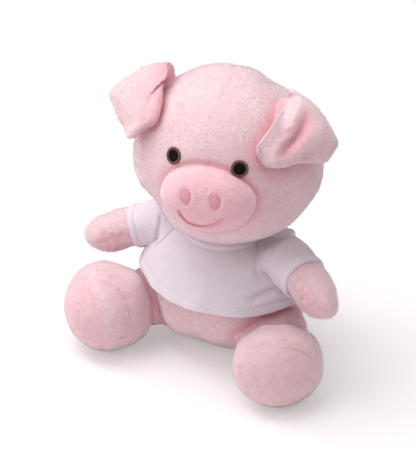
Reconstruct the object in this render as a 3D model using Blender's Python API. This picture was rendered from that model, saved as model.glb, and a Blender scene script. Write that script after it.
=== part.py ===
"""A seated plush pig in a short T-shirt, built from its separate sewn pieces.

Metres, +Z up. The origin is on the ground under the middle of the body. The body faces -Y, so
the pig's left is +X. The head is turned a little to its left, as it sits in the photograph.
"""
import math

import bmesh
import bpy
import numpy as np
from mathutils import Matrix, Vector
from mathutils.bvhtree import BVHTree

# General sizes
GAP = 0.0003
SKIN = 0.0030
CLOTH = 0.0015
LINING = 0.0025
REST_CUT = 0.0005
ROOM_CLEARANCE = 0.0009
SEGMENTS = 24
LIMB_SEGMENTS = 16
SMALL_SEGMENTS = 16

# Body
BODY_WIDTH = 0.110
BODY_DEPTH = 0.088
SEAT_BACK = 0.008
NECK_RADIUS = 0.034
NECK_PIVOT_HEIGHT = 0.066
NECK_HOLE_RADIUS = 0.010
BEAN_BAG_HEIGHT = 0.024

# Head, in a face frame at its centre
HEAD_WIDTH = 0.1215
HEAD_DEPTH = 0.110
HEAD_HEIGHT = 0.114
HEAD_BOTTOM_HEIGHT = 0.0893
HEAD_ASIDE = 0.0025
CHEEK_SHARE = 0.045
FACE_TURN = math.radians(16.5)
FACE_LIFT = math.radians(6.0)
FACE_TILT = math.radians(3.0)

# Snout, nostrils, mouth and eyes
SNOUT_WIDTH = 0.060
SNOUT_HEIGHT = 0.044
SNOUT_DEPTH = 0.036
SNOUT_FORWARD = 0.050
SNOUT_DROP = 0.0082
SNOUT_ASIDE = 0.0015
NOSTRIL_WIDTH = 0.0064
NOSTRIL_HEIGHT = 0.0096
NOSTRIL_SPACING = 0.019
NOSTRIL_RISE = 0.0052
NOSTRIL_ASIDE = -0.0008
NOSTRIL_SINK = 0.0020
THREAD_PILE = 0.0014
MOUTH_WIDTH = 0.027
MOUTH_DROP = 0.0052
MOUTH_ASIDE = 0.0005
MOUTH_SAG = 0.0065
MOUTH_THREAD_RADIUS = 0.0009
EYE_DIAMETER = 0.0108
PUPIL_DIAMETER = 0.0072
EYE_SINK = 0.0009
EYE_AZIMUTH = math.radians(23.0)
EYE_ASIDE = math.radians(-1.5)
EYE_LIFT = math.radians(15.0)

# Ears
EAR_ARCH = 0.0020
EAR_LAYER_GAP = 0.0007
EAR_LAYER = 0.0033
EAR_LINING = 0.0023
EAR_ROOT_RADIUS = 0.0019
EAR_SLOT_HALF_WIDTH = 0.0036
EAR_SLOT_FLARE = 0.0042
EAR_SLOT_DEPTH = 0.0028
EAR_SLOT_RISE = 0.014
EAR_SLOT_END = 0.0010
EAR_SWING = math.radians(31.0)

# Arms
ARM_ROOT_OUT = 0.038
ARM_ROOT_FORWARD = -0.001
ARM_ROOT_HEIGHT = 0.0800
ARM_LENGTH = 0.065
ARM_DIAMETER = 0.0285
ARM_ROOT_DOME = 0.007
ARM_BEND_LENGTH = 0.014
ARM_BEND = math.radians(28.0)
ARM_DROP_LEFT = math.radians(19.0)
ARM_DROP_RIGHT = math.radians(39.0)
ARM_SWING_UP = math.radians(75.0)
ARM_SWING_DOWN = 0.0

# Legs
LEG_ROOT_OUT = 0.031
LEG_ROOT_FORWARD = 0.011
LEG_LENGTH_LEFT = 0.0700
LEG_LENGTH_RIGHT = 0.0785
FOOT_WIDTH = 0.0580
FOOT_HEIGHT = 0.0580
LEG_ROOT_DOME = 0.008
LEG_BEND_LENGTH = 0.022
LEG_BEND_LEFT = math.radians(52.0)
LEG_BEND_RIGHT = math.radians(57.0)
LEG_SWING_UP = math.radians(16.5)
LEG_SWING_DOWN = math.radians(13.0)
SOLE_SEAM_SHARE = 0.80

# T-shirt
HEM_SIDE_HEIGHT = 0.0555
HEM_FRONT_DROP = 0.0035
HEM_EASE = 0.0042
HEM_FOLD = 0.0012
HEM_FOLDS = 7
SLEEVE_LENGTH = 0.030
SLEEVE_TUCK = 0.002
SLEEVE_EASE = 0.0006
COLLAR_THICKNESS = 0.0020
NECK_RING_THICKNESS = 0.0020
SEAT_CLEARANCE = 0.0009

# Tail
TAIL_RADIUS = 0.0034
TAIL_CURL_RADIUS = 0.0062
TAIL_CURL_PITCH = 0.0085
TAIL_HEIGHT = 0.036
TAIL_BALL_RADIUS = 0.0045
TAIL_TURNS = 1.3

# Angles round the neck pivot, from straight up, where the pieces on the neck begin and end
DOME_EDGE = math.radians(53.0)
NECK_RING_ANGLES = (math.radians(12.0), math.radians(38.0))
COLLAR_ANGLES = (math.radians(42.0), math.radians(51.0))

# Share tables: height, half width, half depth, back shift of the body, from the seat up
BODY_SHARES = (
    (0.000, 0.34, 0.33, 1.00),
    (0.025, 0.45, 0.44, 1.00),
    (0.070, 0.59, 0.59, 0.95),
    (0.140, 0.76, 0.76, 0.80),
    (0.240, 0.90, 0.91, 0.65),
    (0.360, 0.98, 0.98, 0.55),
    (0.460, 1.00, 1.00, 0.50),
    (0.560, 0.97, 0.98, 0.42),
    (0.660, 0.90, 0.92, 0.32),
    (0.740, 0.81, 0.84, 0.20),
    (0.800, 0.70, 0.75, 0.10),
    (0.865, 0.50, 0.62, 0.00),
)
# Distance along the limb, half width and half height
ARM_SHARES = (
    (0.00, 0.93, 0.93),
    (0.30, 0.95, 0.95),
    (0.48, 0.99, 0.99),
    (0.60, 1.00, 1.00),
    (0.72, 0.93, 0.93),
    (0.83, 0.79, 0.79),
    (0.92, 0.57, 0.57),
    (0.97, 0.35, 0.35),
    (0.985, 0.24, 0.24),
    (1.00, 0.00, 0.00),
)
LEG_SHARES = (
    (0.00, 0.71, 0.72),
    (0.12, 0.72, 0.73),
    (0.24, 0.75, 0.76),
    (0.33, 0.81, 0.83),
    (0.44, 0.92, 0.93),
    (0.56, 0.99, 0.985),
    (0.64, 1.00, 1.00),
    (0.74, 0.965, 0.965),
    (0.83, 0.87, 0.87),
    (0.90, 0.73, 0.73),
    (0.955, 0.52, 0.52),
    (0.985, 0.32, 0.32),
    (1.00, 0.00, 0.00),
)
# Ears in the face frame as shares of the head's half sizes. Each row has the distance along the
# ear, its middle (aside, forward, up), and the way from there to its outer edge.
LEFT_EAR_SHARES = (
    (0.000, 0.494, 0.458, 0.663, 0.015, 0.264, -0.193),
    (0.143, 0.593, 0.336, 0.793, 0.091, 0.164, -0.158),
    (0.286, 0.708, 0.255, 0.819, 0.156, 0.073, -0.167),
    (0.429, 0.831, 0.236, 0.775, 0.230, 0.027, -0.175),
    (0.571, 0.905, 0.345, 0.684, 0.277, -0.027, -0.186),
    (0.714, 0.889, 0.482, 0.535, 0.290, -0.118, -0.123),
    (0.857, 0.831, 0.591, 0.404, 0.296, -0.191, -0.070),
    (1.000, 0.765, 0.682, 0.289, 0.230, -0.182, -0.026),
)
RIGHT_EAR_SHARES = (
    (0.000, 0.650, 0.218, 0.632, 0.000, 0.309, -0.112),
    (0.143, 0.782, 0.173, 0.719, 0.104, 0.236, -0.144),
    (0.286, 0.905, 0.136, 0.754, 0.181, 0.164, -0.158),
    (0.429, 0.988, 0.164, 0.746, 0.222, 0.118, -0.158),
    (0.571, 1.004, 0.273, 0.693, 0.230, 0.082, -0.163),
    (0.714, 0.955, 0.424, 0.588, 0.214, 0.027, -0.158),
    (0.857, 0.872, 0.564, 0.482, 0.189, -0.018, -0.140),
    (1.000, 0.777, 0.691, 0.368, 0.123, -0.036, -0.105),
)
# Distance along an ear, layer thickness, and how much it is arched across
EAR_LAYER_SHARES = (
    (0.00, 0.60, 0.0),
    (0.15, 0.80, 0.2),
    (0.30, 1.00, 0.8),
    (0.50, 1.00, 1.0),
    (0.80, 1.00, 0.7),
    (0.95, 0.80, 0.5),
    (1.00, 0.50, 0.4),
)
HEM_EASE_SHARES = ((0.00, 1.00), (0.35, 0.62), (0.70, 0.12), (1.00, 0.00))

SIDES = {"left": 1, "right": -1}
LEG_BENDS = {1: LEG_BEND_LEFT, -1: LEG_BEND_RIGHT}
LEG_LENGTHS = {1: LEG_LENGTH_LEFT, -1: LEG_LENGTH_RIGHT}
ARM_DROPS = {1: ARM_DROP_LEFT, -1: ARM_DROP_RIGHT}
EAR_TABLES = {1: LEFT_EAR_SHARES, -1: RIGHT_EAR_SHARES}
EAR_LAYERS = {1: EAR_LAYER, -1: EAR_LINING}


def clear_scene():
    for old in list(bpy.data.objects):
        bpy.data.objects.remove(old, do_unlink=True)


def material(name, color, roughness):
    made = bpy.data.materials.new(name)
    made.use_nodes = True
    shader = made.node_tree.nodes["Principled BSDF"]
    shader.inputs["Base Color"].default_value = (*color, 1.0)
    shader.inputs["Roughness"].default_value = roughness
    shader.inputs["Metallic"].default_value = 0.0
    return made


PLUSH_COLOR = (0.84, 0.56, 0.60)
PLUSH_DEEP_COLOR = (0.80, 0.42, 0.47)
SNOUT_COLOR = (0.84, 0.50, 0.55)
THREAD_PINK_COLOR = (0.66, 0.27, 0.33)
THREAD_BROWN_COLOR = (0.20, 0.09, 0.07)
THREAD_BLACK_COLOR = (0.02, 0.015, 0.015)
JERSEY_COLOR = (0.80, 0.76, 0.82)
FILLING_COLOR = (0.90, 0.90, 0.88)
BEAN_COLOR = (0.70, 0.68, 0.62)
CLOTH_ROUGHNESS = 0.9
THREAD_ROUGHNESS = 0.55


def follow(table, at):
    """Columns of a share table at one place, on a smooth curve through its rows."""
    rows = np.array(table, float)
    keys = rows[:, 0]
    slopes = np.gradient(rows[:, 1:], keys, axis=0)
    i = int(np.clip(np.searchsorted(keys, at) - 1, 0, len(keys) - 2))
    width = keys[i + 1] - keys[i]
    s = (at - keys[i]) / width
    start = (2 * s ** 3 - 3 * s ** 2 + 1) * rows[i, 1:]
    end = (3 * s ** 2 - 2 * s ** 3) * rows[i + 1, 1:]
    bend = (s ** 3 - 2 * s ** 2 + s) * slopes[i] + (s ** 3 - s ** 2) * slopes[i + 1]
    return start + end + bend * width


def ring(centre, across, up, half_across, half_up, count):
    """Points of an oval, anticlockwise when seen with across to the right and up upwards."""
    points = []
    for k in range(count):
        angle = 2 * math.pi * k / count
        points.append(Vector(centre) + Vector(across) * half_across * math.cos(angle)
                      + Vector(up) * half_up * math.sin(angle))
    return points


def add_loops(bm, rings):
    """A surface through the rings. Returns its first and last loops of vertices."""
    loops = [[bm.verts.new(point) for point in points] for points in rings]
    for low, high in zip(loops, loops[1:]):
        for k in range(len(low)):
            following = (k + 1) % len(low)
            bm.faces.new((low[k], low[following], high[following]))
            bm.faces.new((low[k], high[following], high[k]))
    return loops[0], loops[-1]


def add_cap(bm, loop, point):
    tip = bm.verts.new(point)
    for k in range(len(loop)):
        bm.faces.new((loop[k], loop[(k + 1) % len(loop)], tip))


def middle(points):
    return sum((Vector(p) for p in points), Vector()) / len(points)


def join_rims(bm, one, other):
    for k in range(len(one)):
        following = (k + 1) % len(one)
        bm.faces.new((one[k], one[following], other[following], other[k]))


def face_out(bm):
    """Turns every face of a closed form outwards."""
    bmesh.ops.recalc_face_normals(bm, faces=bm.faces)
    if bm.calc_volume(signed=True) < 0:
        bmesh.ops.reverse_faces(bm, faces=bm.faces)


def solid_form(rings, first_tip=None, last_tip=None):
    """A closed solid through the rings, with its ends brought to points or closed flat."""
    bm = bmesh.new()
    first, last = add_loops(bm, rings)
    add_cap(bm, first, first_tip if first_tip is not None else middle(rings[0]))
    add_cap(bm, last, last_tip if last_tip is not None else middle(rings[-1]))
    face_out(bm)
    return bm


def cup_form(outer, inner, outer_tip, inner_tip):
    """A wall between two surfaces, open at their first rings and closed over their last."""
    bm = bmesh.new()
    outer_first, outer_last = add_loops(bm, outer)
    inner_first, inner_last = add_loops(bm, inner)
    add_cap(bm, outer_last, outer_tip)
    add_cap(bm, inner_last, inner_tip)
    join_rims(bm, outer_first, inner_first)
    face_out(bm)
    return bm


def tube_form(outer, inner):
    """A wall between two surfaces, open at both ends."""
    bm = bmesh.new()
    outer_first, outer_last = add_loops(bm, outer)
    inner_first, inner_last = add_loops(bm, inner)
    join_rims(bm, outer_first, inner_first)
    join_rims(bm, outer_last, inner_last)
    face_out(bm)
    return bm


def sheet_form(outer, inner):
    """A wall between two open grids of points, closed along all four edges."""
    bm = bmesh.new()
    sides = [[[bm.verts.new(p) for p in row] for row in grid] for grid in (outer, inner)]
    rows, columns = len(outer), len(outer[0])
    for grid in sides:
        for i in range(rows - 1):
            for j in range(columns - 1):
                bm.faces.new((grid[i][j], grid[i][j + 1], grid[i + 1][j + 1], grid[i + 1][j]))
    border = [(0, j) for j in range(columns)]
    border += [(i, columns - 1) for i in range(1, rows)]
    border += [(rows - 1, j) for j in range(columns - 2, -1, -1)]
    border += [(i, 0) for i in range(rows - 2, 0, -1)]
    for k in range(len(border)):
        i, j = border[k]
        m, n = border[(k + 1) % len(border)]
        bm.faces.new((sides[0][i][j], sides[0][m][n], sides[1][m][n], sides[1][i][j]))
    face_out(bm)
    return bm


def level_off(bm):
    """Cuts a form flat at the ground and closes it there."""
    everything = bm.verts[:] + bm.edges[:] + bm.faces[:]
    bmesh.ops.bisect_plane(bm, geom=everything, plane_co=(0, 0, 0), plane_no=(0, 0, -1),
                           clear_outer=True)
    open_edges = [edge for edge in bm.edges if edge.is_boundary]
    bmesh.ops.holes_fill(bm, edges=open_edges)
    face_out(bm)
    return bm


def add_object(name, bm, finish, joint=None):
    """Puts a form in the scene as one named piece, under the empty on its joint's axis."""
    mesh = bpy.data.meshes.new(name)
    bm.to_mesh(mesh)
    bm.free()
    mesh.materials.append(finish)
    mesh.shade_smooth()
    piece = bpy.data.objects.new(name, mesh)
    bpy.context.scene.collection.objects.link(piece)
    if joint is not None:
        piece.parent = joint
        piece.matrix_parent_inverse = joint.matrix_world.inverted()
    return piece


def add_cutter(name, bm):
    mesh = bpy.data.meshes.new(name)
    bm.to_mesh(mesh)
    bm.free()
    cutter = bpy.data.objects.new(name, mesh)
    bpy.context.scene.collection.objects.link(cutter)
    cutter.hide_render = True
    cutter.display_type = "WIRE"
    return cutter


def cut(piece, cutters):
    for cutter in cutters:
        step = piece.modifiers.new(cutter.name, "BOOLEAN")
        step.operation = "DIFFERENCE"
        step.solver = "EXACT"
        step.object = cutter


def add_joint(name, place):
    empty = bpy.data.objects.new(name, None)
    empty.location = place
    bpy.context.scene.collection.objects.link(empty)
    bpy.context.view_layer.update()
    return empty


X, Y, Z = Vector((1, 0, 0)), Vector((0, 1, 0)), Vector((0, 0, 1))
NECK_PIVOT = Vector((0, 0, NECK_PIVOT_HEIGHT))


def neck_ring_points(angle, radius):
    """A level circle on the ball round the neck pivot."""
    centre = NECK_PIVOT + Z * radius * math.cos(angle)
    return ring(centre, X, Y, radius * math.sin(angle), radius * math.sin(angle), SEGMENTS)


BODY_HEIGHT = NECK_PIVOT_HEIGHT + NECK_RADIUS


def body_oval(share, grow):
    """Centre, half width and half depth of the body at a share of its height."""
    width, depth, back = follow(BODY_SHARES, share)
    centre = Vector((0, SEAT_BACK * back, share * (BODY_HEIGHT + 2 * grow) - grow))
    return centre, BODY_WIDTH / 2 * width + grow, BODY_DEPTH / 2 * depth + grow


BODY_LEVEL_SHARES = (0.0, 0.025, 0.07, 0.14, 0.24, 0.36, 0.46, 0.56, 0.66, 0.74, 0.80)
CORE_LEVEL_SHARES = (0.0, 0.07, 0.14, 0.26, 0.40, 0.56, 0.68, 0.77)
DOME_STEP_SHARES = (1.0, 0.8, 0.6)


def body_rings(grow, levels, hole_radius):
    """Rings of the body from the seat to the edge of its neck hole."""
    rings = []
    for share in levels:
        centre, half_width, half_depth = body_oval(share, grow)
        rings.append(ring(centre, X, Y, half_width, half_depth, SEGMENTS))
    for share in DOME_STEP_SHARES:
        rings.append(neck_ring_points(DOME_EDGE * share, NECK_RADIUS + grow))
    hole_angle = math.asin(hole_radius / (NECK_RADIUS + grow))
    rings.append(neck_ring_points(hole_angle, NECK_RADIUS + grow))
    return rings


def limb_frame(limb, along):
    """Centre and the two ring directions at a distance along a limb's middle line."""
    side, root, bend, bend_length, toward = limb["frame"]
    out = X * side
    turn = bend * min(max(along, 0) / bend_length, 1)
    radius = bend_length / bend
    centre = root + out * (radius * math.sin(turn)) + toward * (radius * (1 - math.cos(turn)))
    heading = out * math.cos(turn) + toward * math.sin(turn)
    centre = centre + heading * max(along - bend_length, 0) + out * min(along, 0)
    sideways = toward * math.cos(turn) - out * math.sin(turn)
    return centre, sideways, out.cross(toward)


def limb_ring(limb, along, grow):
    """One ring of a limb. Before its root the limb is a dome that goes into the body."""
    centre, sideways, across = limb_frame(limb, along)
    share = min(max(along / limb["length"], 0), 1)
    width, height = follow(limb["shares"], share)
    half_width = limb["width"] / 2 * width + grow
    half_height = limb["height"] / 2 * height + grow
    if along < 0:
        depth = limb["dome"] + grow
        rounding = math.sqrt(max(1 - (along / depth) ** 2, 0))
        half_width *= rounding
        half_height *= rounding
    return ring(centre, sideways, across, half_width, half_height, LIMB_SEGMENTS)


DOME_RING_SHARES = (0.90, 0.66, 0.35)


def limb_rings(limb, grow, start_share, stops, end):
    """Rings from the dome, or from an opening in it, along the limb up to a distance."""
    depth = limb["dome"] + grow
    places = [-depth * share for share in DOME_RING_SHARES if share <= start_share]
    places += [stop * limb["length"] for stop in stops if stop * limb["length"] < end]
    return [limb_ring(limb, place, grow) for place in places + [end]]


LIMB_STOP_SHARES = (0.0, 0.08, 0.16, 0.24, 0.33, 0.44, 0.56, 0.68, 0.78, 0.87, 0.94)
CORE_STOP_SHARES = (0.0, 0.16, 0.32, 0.50, 0.68, 0.80, 0.90)
END_SHARE = 0.985


def limb_solid(limb, grow, stops):
    """The whole limb as one solid, grown or shrunk all over."""
    end = limb["length"] * END_SHARE
    rings = limb_rings(limb, grow, 1, stops, end)
    root_tip = limb_frame(limb, -limb["dome"] - grow)[0]
    end_tip = limb_frame(limb, limb["length"] + grow)[0]
    return solid_form(rings, root_tip, end_tip)


def arm_limb(side):
    drop = ARM_DROPS[side]
    toward = -Y * math.cos(drop) - Z * math.sin(drop)
    root = Vector((ARM_ROOT_OUT * side, -ARM_ROOT_FORWARD, ARM_ROOT_HEIGHT))
    return {"frame": (side, root, ARM_BEND, ARM_BEND_LENGTH, toward), "shares": ARM_SHARES,
            "length": ARM_LENGTH, "width": ARM_DIAMETER, "height": ARM_DIAMETER,
            "dome": ARM_ROOT_DOME}


def leg_limb(side):
    height = FOOT_HEIGHT / 2 - REST_CUT
    root = Vector((LEG_ROOT_OUT * side, -LEG_ROOT_FORWARD, height))
    return {"frame": (side, root, LEG_BENDS[side], LEG_BEND_LENGTH, -Y),
            "shares": LEG_SHARES, "length": LEG_LENGTHS[side], "width": FOOT_WIDTH,
            "height": FOOT_HEIGHT, "dome": LEG_ROOT_DOME}


def farthest(tree, centre, direction):
    """Distance from a point to the outermost surface in one direction, 0 if there is none."""
    reach = LEG_LENGTH_RIGHT + FOOT_WIDTH
    place, _, _, _ = tree.ray_cast(centre + direction * reach, -direction, reach)
    return (place - centre).length if place is not None else 0.0


def swing_room(form, root, side, slices, swings):
    """The space that a form sweeps as it swings round the side-to-side line through its root.

    Each slice across that line has its place and the place where the form is measured, and it
    holds the farthest that the form reaches there at any angle of the swing.
    """
    tree = BVHTree.FromBMesh(form)
    form.free()
    steps = [swings[0] + (swings[1] - swings[0]) * k / ROOM_STEPS for k in range(ROOM_STEPS + 1)]
    rings = []
    for out, probe in slices:
        centre = root + X * side * out
        measured = root + X * side * probe
        points = []
        for k in range(LIMB_SEGMENTS):
            angle = 2 * math.pi * k / LIMB_SEGMENTS
            reach = 0.0
            for swing in steps:
                direction = Z * math.sin(angle - swing) - Y * math.cos(angle - swing)
                reach = max(reach, farthest(tree, measured, direction))
            way = Z * math.sin(angle) - Y * math.cos(angle)
            points.append(centre + way * (reach / math.cos(math.pi / LIMB_SEGMENTS)
                                          + ROOM_CLEARANCE))
        rings.append(points)
    return solid_form(rings)


ROOM_STEPS = 14


def sleeve_radius(limb, along):
    """Inner radius of the sleeve, which widens a little towards its cuff."""
    share = min(max(along / limb["length"], 0), 1)
    arm = limb["width"] / 2 * max(follow(limb["shares"], share)[0], limb["shares"][0][1])
    return arm + GAP + SLEEVE_EASE * max(along, 0) / SLEEVE_LENGTH


def sleeve_ring(limb, along, thickness):
    centre, sideways, across = limb_frame(limb, along)
    radius = sleeve_radius(limb, along) + thickness
    return ring(centre, sideways, across, radius, radius, LIMB_SEGMENTS)


SLEEVE_STOP_SHARES = (0.0, 0.2, 0.4, 0.6, 0.8, 1.0)


def arm_room(side):
    """The space that an arm and its sleeve sweep as they swing."""
    limb = arm_limb(side)
    dome = [limb_ring(limb, -ARM_ROOT_DOME * share, 0) for share in DOME_RING_SHARES]
    tuck = [limb_ring(limb, -SLEEVE_TUCK, 0)]
    for along in [-SLEEVE_TUCK] + [SLEEVE_LENGTH * share for share in SLEEVE_STOP_SHARES]:
        tuck.append(sleeve_ring(limb, along, CLOTH))
    form = solid_form(dome + tuck, limb_frame(limb, -ARM_ROOT_DOME)[0])
    face = -SLEEVE_TUCK - ROOM_CLEARANCE
    slices = [(-ARM_ROOT_DOME - GAP, -ARM_ROOT_DOME)]
    slices += [(-ARM_ROOT_DOME * share, -ARM_ROOT_DOME * share) for share in ARM_DOME_SHARES]
    slices += [(face, face), (face, -SLEEVE_TUCK * SLEEVE_EDGE_SHARE)]
    slices += [(SLEEVE_LENGTH * share, SLEEVE_LENGTH * share) for share in ARM_ROOM_SHARES]
    return swing_room(form, limb["frame"][1], side, slices, (-ARM_SWING_DOWN, ARM_SWING_UP))


ARM_DOME_SHARES = (0.90, 0.66)
SLEEVE_EDGE_SHARE = 0.99
ARM_ROOM_SHARES = (0.1, 0.25, 0.4, 0.55, 0.7, 0.85, 1.0, 1.15)
LEG_ROOM_SHARES = (0.0, 0.10, 0.20, 0.30, 0.40, 0.50, 0.62)


def leg_room(side):
    """The space that a leg sweeps where it meets the body."""
    limb = leg_limb(side)
    form = limb_solid(limb, 0, LIMB_STOP_SHARES)
    slices = [(-LEG_ROOT_DOME - GAP, -LEG_ROOT_DOME)]
    slices += [(-LEG_ROOT_DOME * share, -LEG_ROOT_DOME * share) for share in DOME_RING_SHARES]
    slices += [(FOOT_WIDTH * share, FOOT_WIDTH * share) for share in LEG_ROOM_SHARES]
    return swing_room(form, limb["frame"][1], side, slices, (-LEG_SWING_DOWN, LEG_SWING_UP))


HEAD_CENTRE = Vector((HEAD_ASIDE, 0, HEAD_BOTTOM_HEIGHT + HEAD_HEIGHT / 2))
HEAD_HALF = Vector((HEAD_WIDTH / 2, HEAD_DEPTH / 2, HEAD_HEIGHT / 2))
FACE = (Matrix.Rotation(FACE_TURN, 3, "Z") @ Matrix.Rotation(-FACE_LIFT, 3, "X")
        @ Matrix.Rotation(FACE_TILT, 3, "Y"))
HEAD_SEAT_RADIUS = NECK_RADIUS + NECK_RING_THICKNESS + GAP + SEAT_CLEARANCE


def face_point(side, forward, rise):
    """A place in the face frame, from the head's centre."""
    return HEAD_CENTRE + FACE @ Vector((side, -forward, rise))


def head_ring(angle, grow):
    """A ring of the head at an angle from its lowest point. Low rings centre on the neck."""
    height = HEAD_CENTRE.z - (HEAD_HALF.z + grow) * math.cos(angle)
    rise = (height - HEAD_BOTTOM_HEIGHT) / HEAD_HALF.z
    aside = HEAD_ASIDE * min(max(rise / ASIDE_RISE_SHARE, 0), 1)
    full = math.sin(angle) * (1 + CHEEK_SHARE * max(math.sin(2 * angle), 0))
    flat = (HEAD_HALF.y - HEAD_HALF.x) * min(max(rise, 0), 1)
    turned = Matrix.Rotation(FACE_TURN, 3, "Z")
    half_across = HEAD_HALF.x + grow
    return ring(Vector((aside, 0, height)), turned @ X, turned @ Y, half_across * full,
                (half_across + flat) * full, SEGMENTS)


ASIDE_RISE_SHARE = 0.35


def head_seat_angle(grow):
    """The angle from the lowest point at which the head leaves its seat on the neck."""
    for step in range(1, HEAD_SEARCH_STEPS):
        angle = math.pi / 2 * step / HEAD_SEARCH_STEPS
        radius = (HEAD_HALF.x + grow) * math.sin(angle)
        radius *= 1 + CHEEK_SHARE * math.sin(2 * angle)
        height = HEAD_CENTRE.z - (HEAD_HALF.z + grow) * math.cos(angle)
        if math.hypot(radius, height - NECK_PIVOT_HEIGHT) > HEAD_SEAT_RADIUS - grow:
            return angle
    return math.pi / 2


HEAD_SEARCH_STEPS = 900
HEAD_RING_COUNT = 14
HEAD_CORE_RING_COUNT = 8
HEAD_TOP_ANGLE = math.radians(172.0)
SEAT_STEP_SHARES = (0.62, 0.85)


def head_rings(grow, count, hole_radius):
    """Rings from the neck opening, over the hollow seat, and up over the head."""
    edge = head_seat_angle(grow)
    seat_radius = HEAD_SEAT_RADIUS - grow
    edge_radius = (HEAD_HALF.x + grow) * math.sin(edge)
    edge_radius *= 1 + CHEEK_SHARE * math.sin(2 * edge)
    radii = [hole_radius] + [edge_radius * share for share in SEAT_STEP_SHARES]
    turned = Matrix.Rotation(FACE_TURN, 3, "Z")
    rings = []
    for radius in radii:
        height = NECK_PIVOT_HEIGHT + math.sqrt(seat_radius ** 2 - radius ** 2)
        rings.append(ring((0, 0, height), turned @ X, turned @ Y, radius, radius, SEGMENTS))
    for k in range(count):
        angle = edge + (HEAD_TOP_ANGLE - edge) * k / (count - 1)
        rings.append(head_ring(angle, grow))
    return rings


def head_top(grow):
    return Vector((HEAD_ASIDE, 0, HEAD_CENTRE.z + HEAD_HALF.z + grow))


SNOUT_SEGMENTS = 22
SNOUT_RING_ANGLES = tuple(math.radians(a) for a in (-42, -20, 0, 18, 34, 48, 61, 73, 83))
SNOUT_POWER = 0.86


def snout_rings(grow):
    """Rings of the snout's cushion from behind the head's surface to its flat front."""
    rings = []
    for angle in SNOUT_RING_ANGLES:
        forward = SNOUT_FORWARD + (SNOUT_DEPTH / 2 + grow) * math.sin(angle)
        spread = math.cos(angle) ** SNOUT_POWER
        rings.append(ring(face_point(SNOUT_ASIDE, forward, -SNOUT_DROP), FACE @ X, FACE @ Z,
                          (SNOUT_WIDTH / 2 + grow) * spread,
                          (SNOUT_HEIGHT / 2 + grow) * spread, SNOUT_SEGMENTS))
    return rings


def snout_tip(grow):
    return face_point(SNOUT_ASIDE, SNOUT_FORWARD + SNOUT_DEPTH / 2 + grow, -SNOUT_DROP)


def snout_surface():
    bm = solid_form(snout_rings(0), None, snout_tip(0))
    tree = BVHTree.FromBMesh(bm)
    bm.free()
    return tree


def head_surface():
    bm = solid_form(head_rings(0, HEAD_RING_COUNT, NECK_HOLE_RADIUS), None, head_top(0))
    tree = BVHTree.FromBMesh(bm)
    bm.free()
    return tree


def on_snout(tree, side, rise):
    """Where a line straight back from in front of the snout meets it, and the way out."""
    start = face_point(SNOUT_ASIDE + side, SNOUT_FORWARD + SNOUT_DEPTH, rise - SNOUT_DROP)
    place, normal, _, _ = tree.ray_cast(start, FACE @ Y)
    return place, normal


def patch_frame(normal, upward):
    across = Vector(upward).cross(normal).normalized()
    return across, normal.cross(across).normalized()


def oval_plate(place, normal, half_width, half_height, low, high):
    """A thin oval plate with its back and its face at two heights over a surface point."""
    across, up = patch_frame(normal, FACE @ Z)
    rings = [ring(place + normal * level, across, up, half_width, half_height, SMALL_SEGMENTS)
             for level in (low, high)]
    return solid_form(rings, None, place + normal * (high + (high - low) * CROWN_SHARE))


CROWN_SHARE = 0.25


def ring_plate(place, normal, outer_radius, inner_radius, low, high):
    across, up = patch_frame(normal, FACE @ Z)
    walls = []
    for radius in (outer_radius, inner_radius):
        walls.append([ring(place + normal * level, across, up, radius, radius, SMALL_SEGMENTS)
                      for level in (low, high)])
    return tube_form(*walls)


def tube_along(points, radii, count):
    """A round tube through points, with its ends closed flat."""
    rings = []
    across = Vector()
    for k, point in enumerate(points):
        ahead = points[min(k + 1, len(points) - 1)] - points[max(k - 1, 0)]
        ahead.normalize()
        if k == 0:
            across = ahead.orthogonal().normalized()
        across = (across - ahead * across.dot(ahead)).normalized()
        rings.append(ring(point, across, ahead.cross(across), radii[k], radii[k], count))
    return solid_form(rings)


def ear_row(side, at):
    """Middle of an ear and the way to its outer edge at a share of its length."""
    row = follow(EAR_TABLES[side], at)
    middle_point = face_point(HEAD_HALF.x * row[0] * side, HEAD_HALF.y * row[1],
                              HEAD_HALF.z * row[2])
    edge = FACE @ Vector((HEAD_HALF.x * row[3] * side, -HEAD_HALF.y * row[4],
                          HEAD_HALF.z * row[5]))
    return middle_point, edge


def ear_frame(side, at):
    """Middle, way across, way out of its outer face, way along, and half width of an ear."""
    centre, edge = ear_row(side, at)
    ahead = ear_row(side, min(at + EAR_STEP_SHARE, 1))[0]
    ahead = ahead - ear_row(side, max(at - EAR_STEP_SHARE, 0))[0]
    across = edge.normalized()
    ahead = (ahead - across * ahead.dot(across)).normalized()
    return centre, across, ahead.cross(across) * side, ahead, edge.length


EAR_STEP_SHARE = 0.04
EAR_STOP_SHARES = (0.10, 0.20, 0.29, 0.37, 0.45, 0.53, 0.63, 0.74, 0.85, 0.94, 1.0)
EAR_SEGMENTS = 14
EAR_BEAD_STEPS = ((-0.96, 0.28), (-0.60, 0.80), (0.00, 1.00))


def ear_point(side, at, place):
    """A point of an ear's middle face, place from -1 at its inner edge to 1 at its outer."""
    centre, across, outward, _, half_width = ear_frame(side, at)
    arch = EAR_ARCH * follow(EAR_LAYER_SHARES, at)[1]
    return centre + across * half_width * place + outward * arch * (1 - place ** 2)


def ear_normal(side, at, place):
    """The way out of an ear's outer face at a point of it."""
    step = EAR_STEP_SHARE
    along = ear_point(side, min(at + step, 1), place) - ear_point(side, max(at - step, 0), place)
    return along.cross(ear_frame(side, at)[1]).normalized() * side


def ear_level(thickness, angle):
    """Distance from an ear's middle face to a layer that is flat on that side."""
    return EAR_LAYER_GAP / 2 + thickness * max(math.sin(angle), 0)


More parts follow.
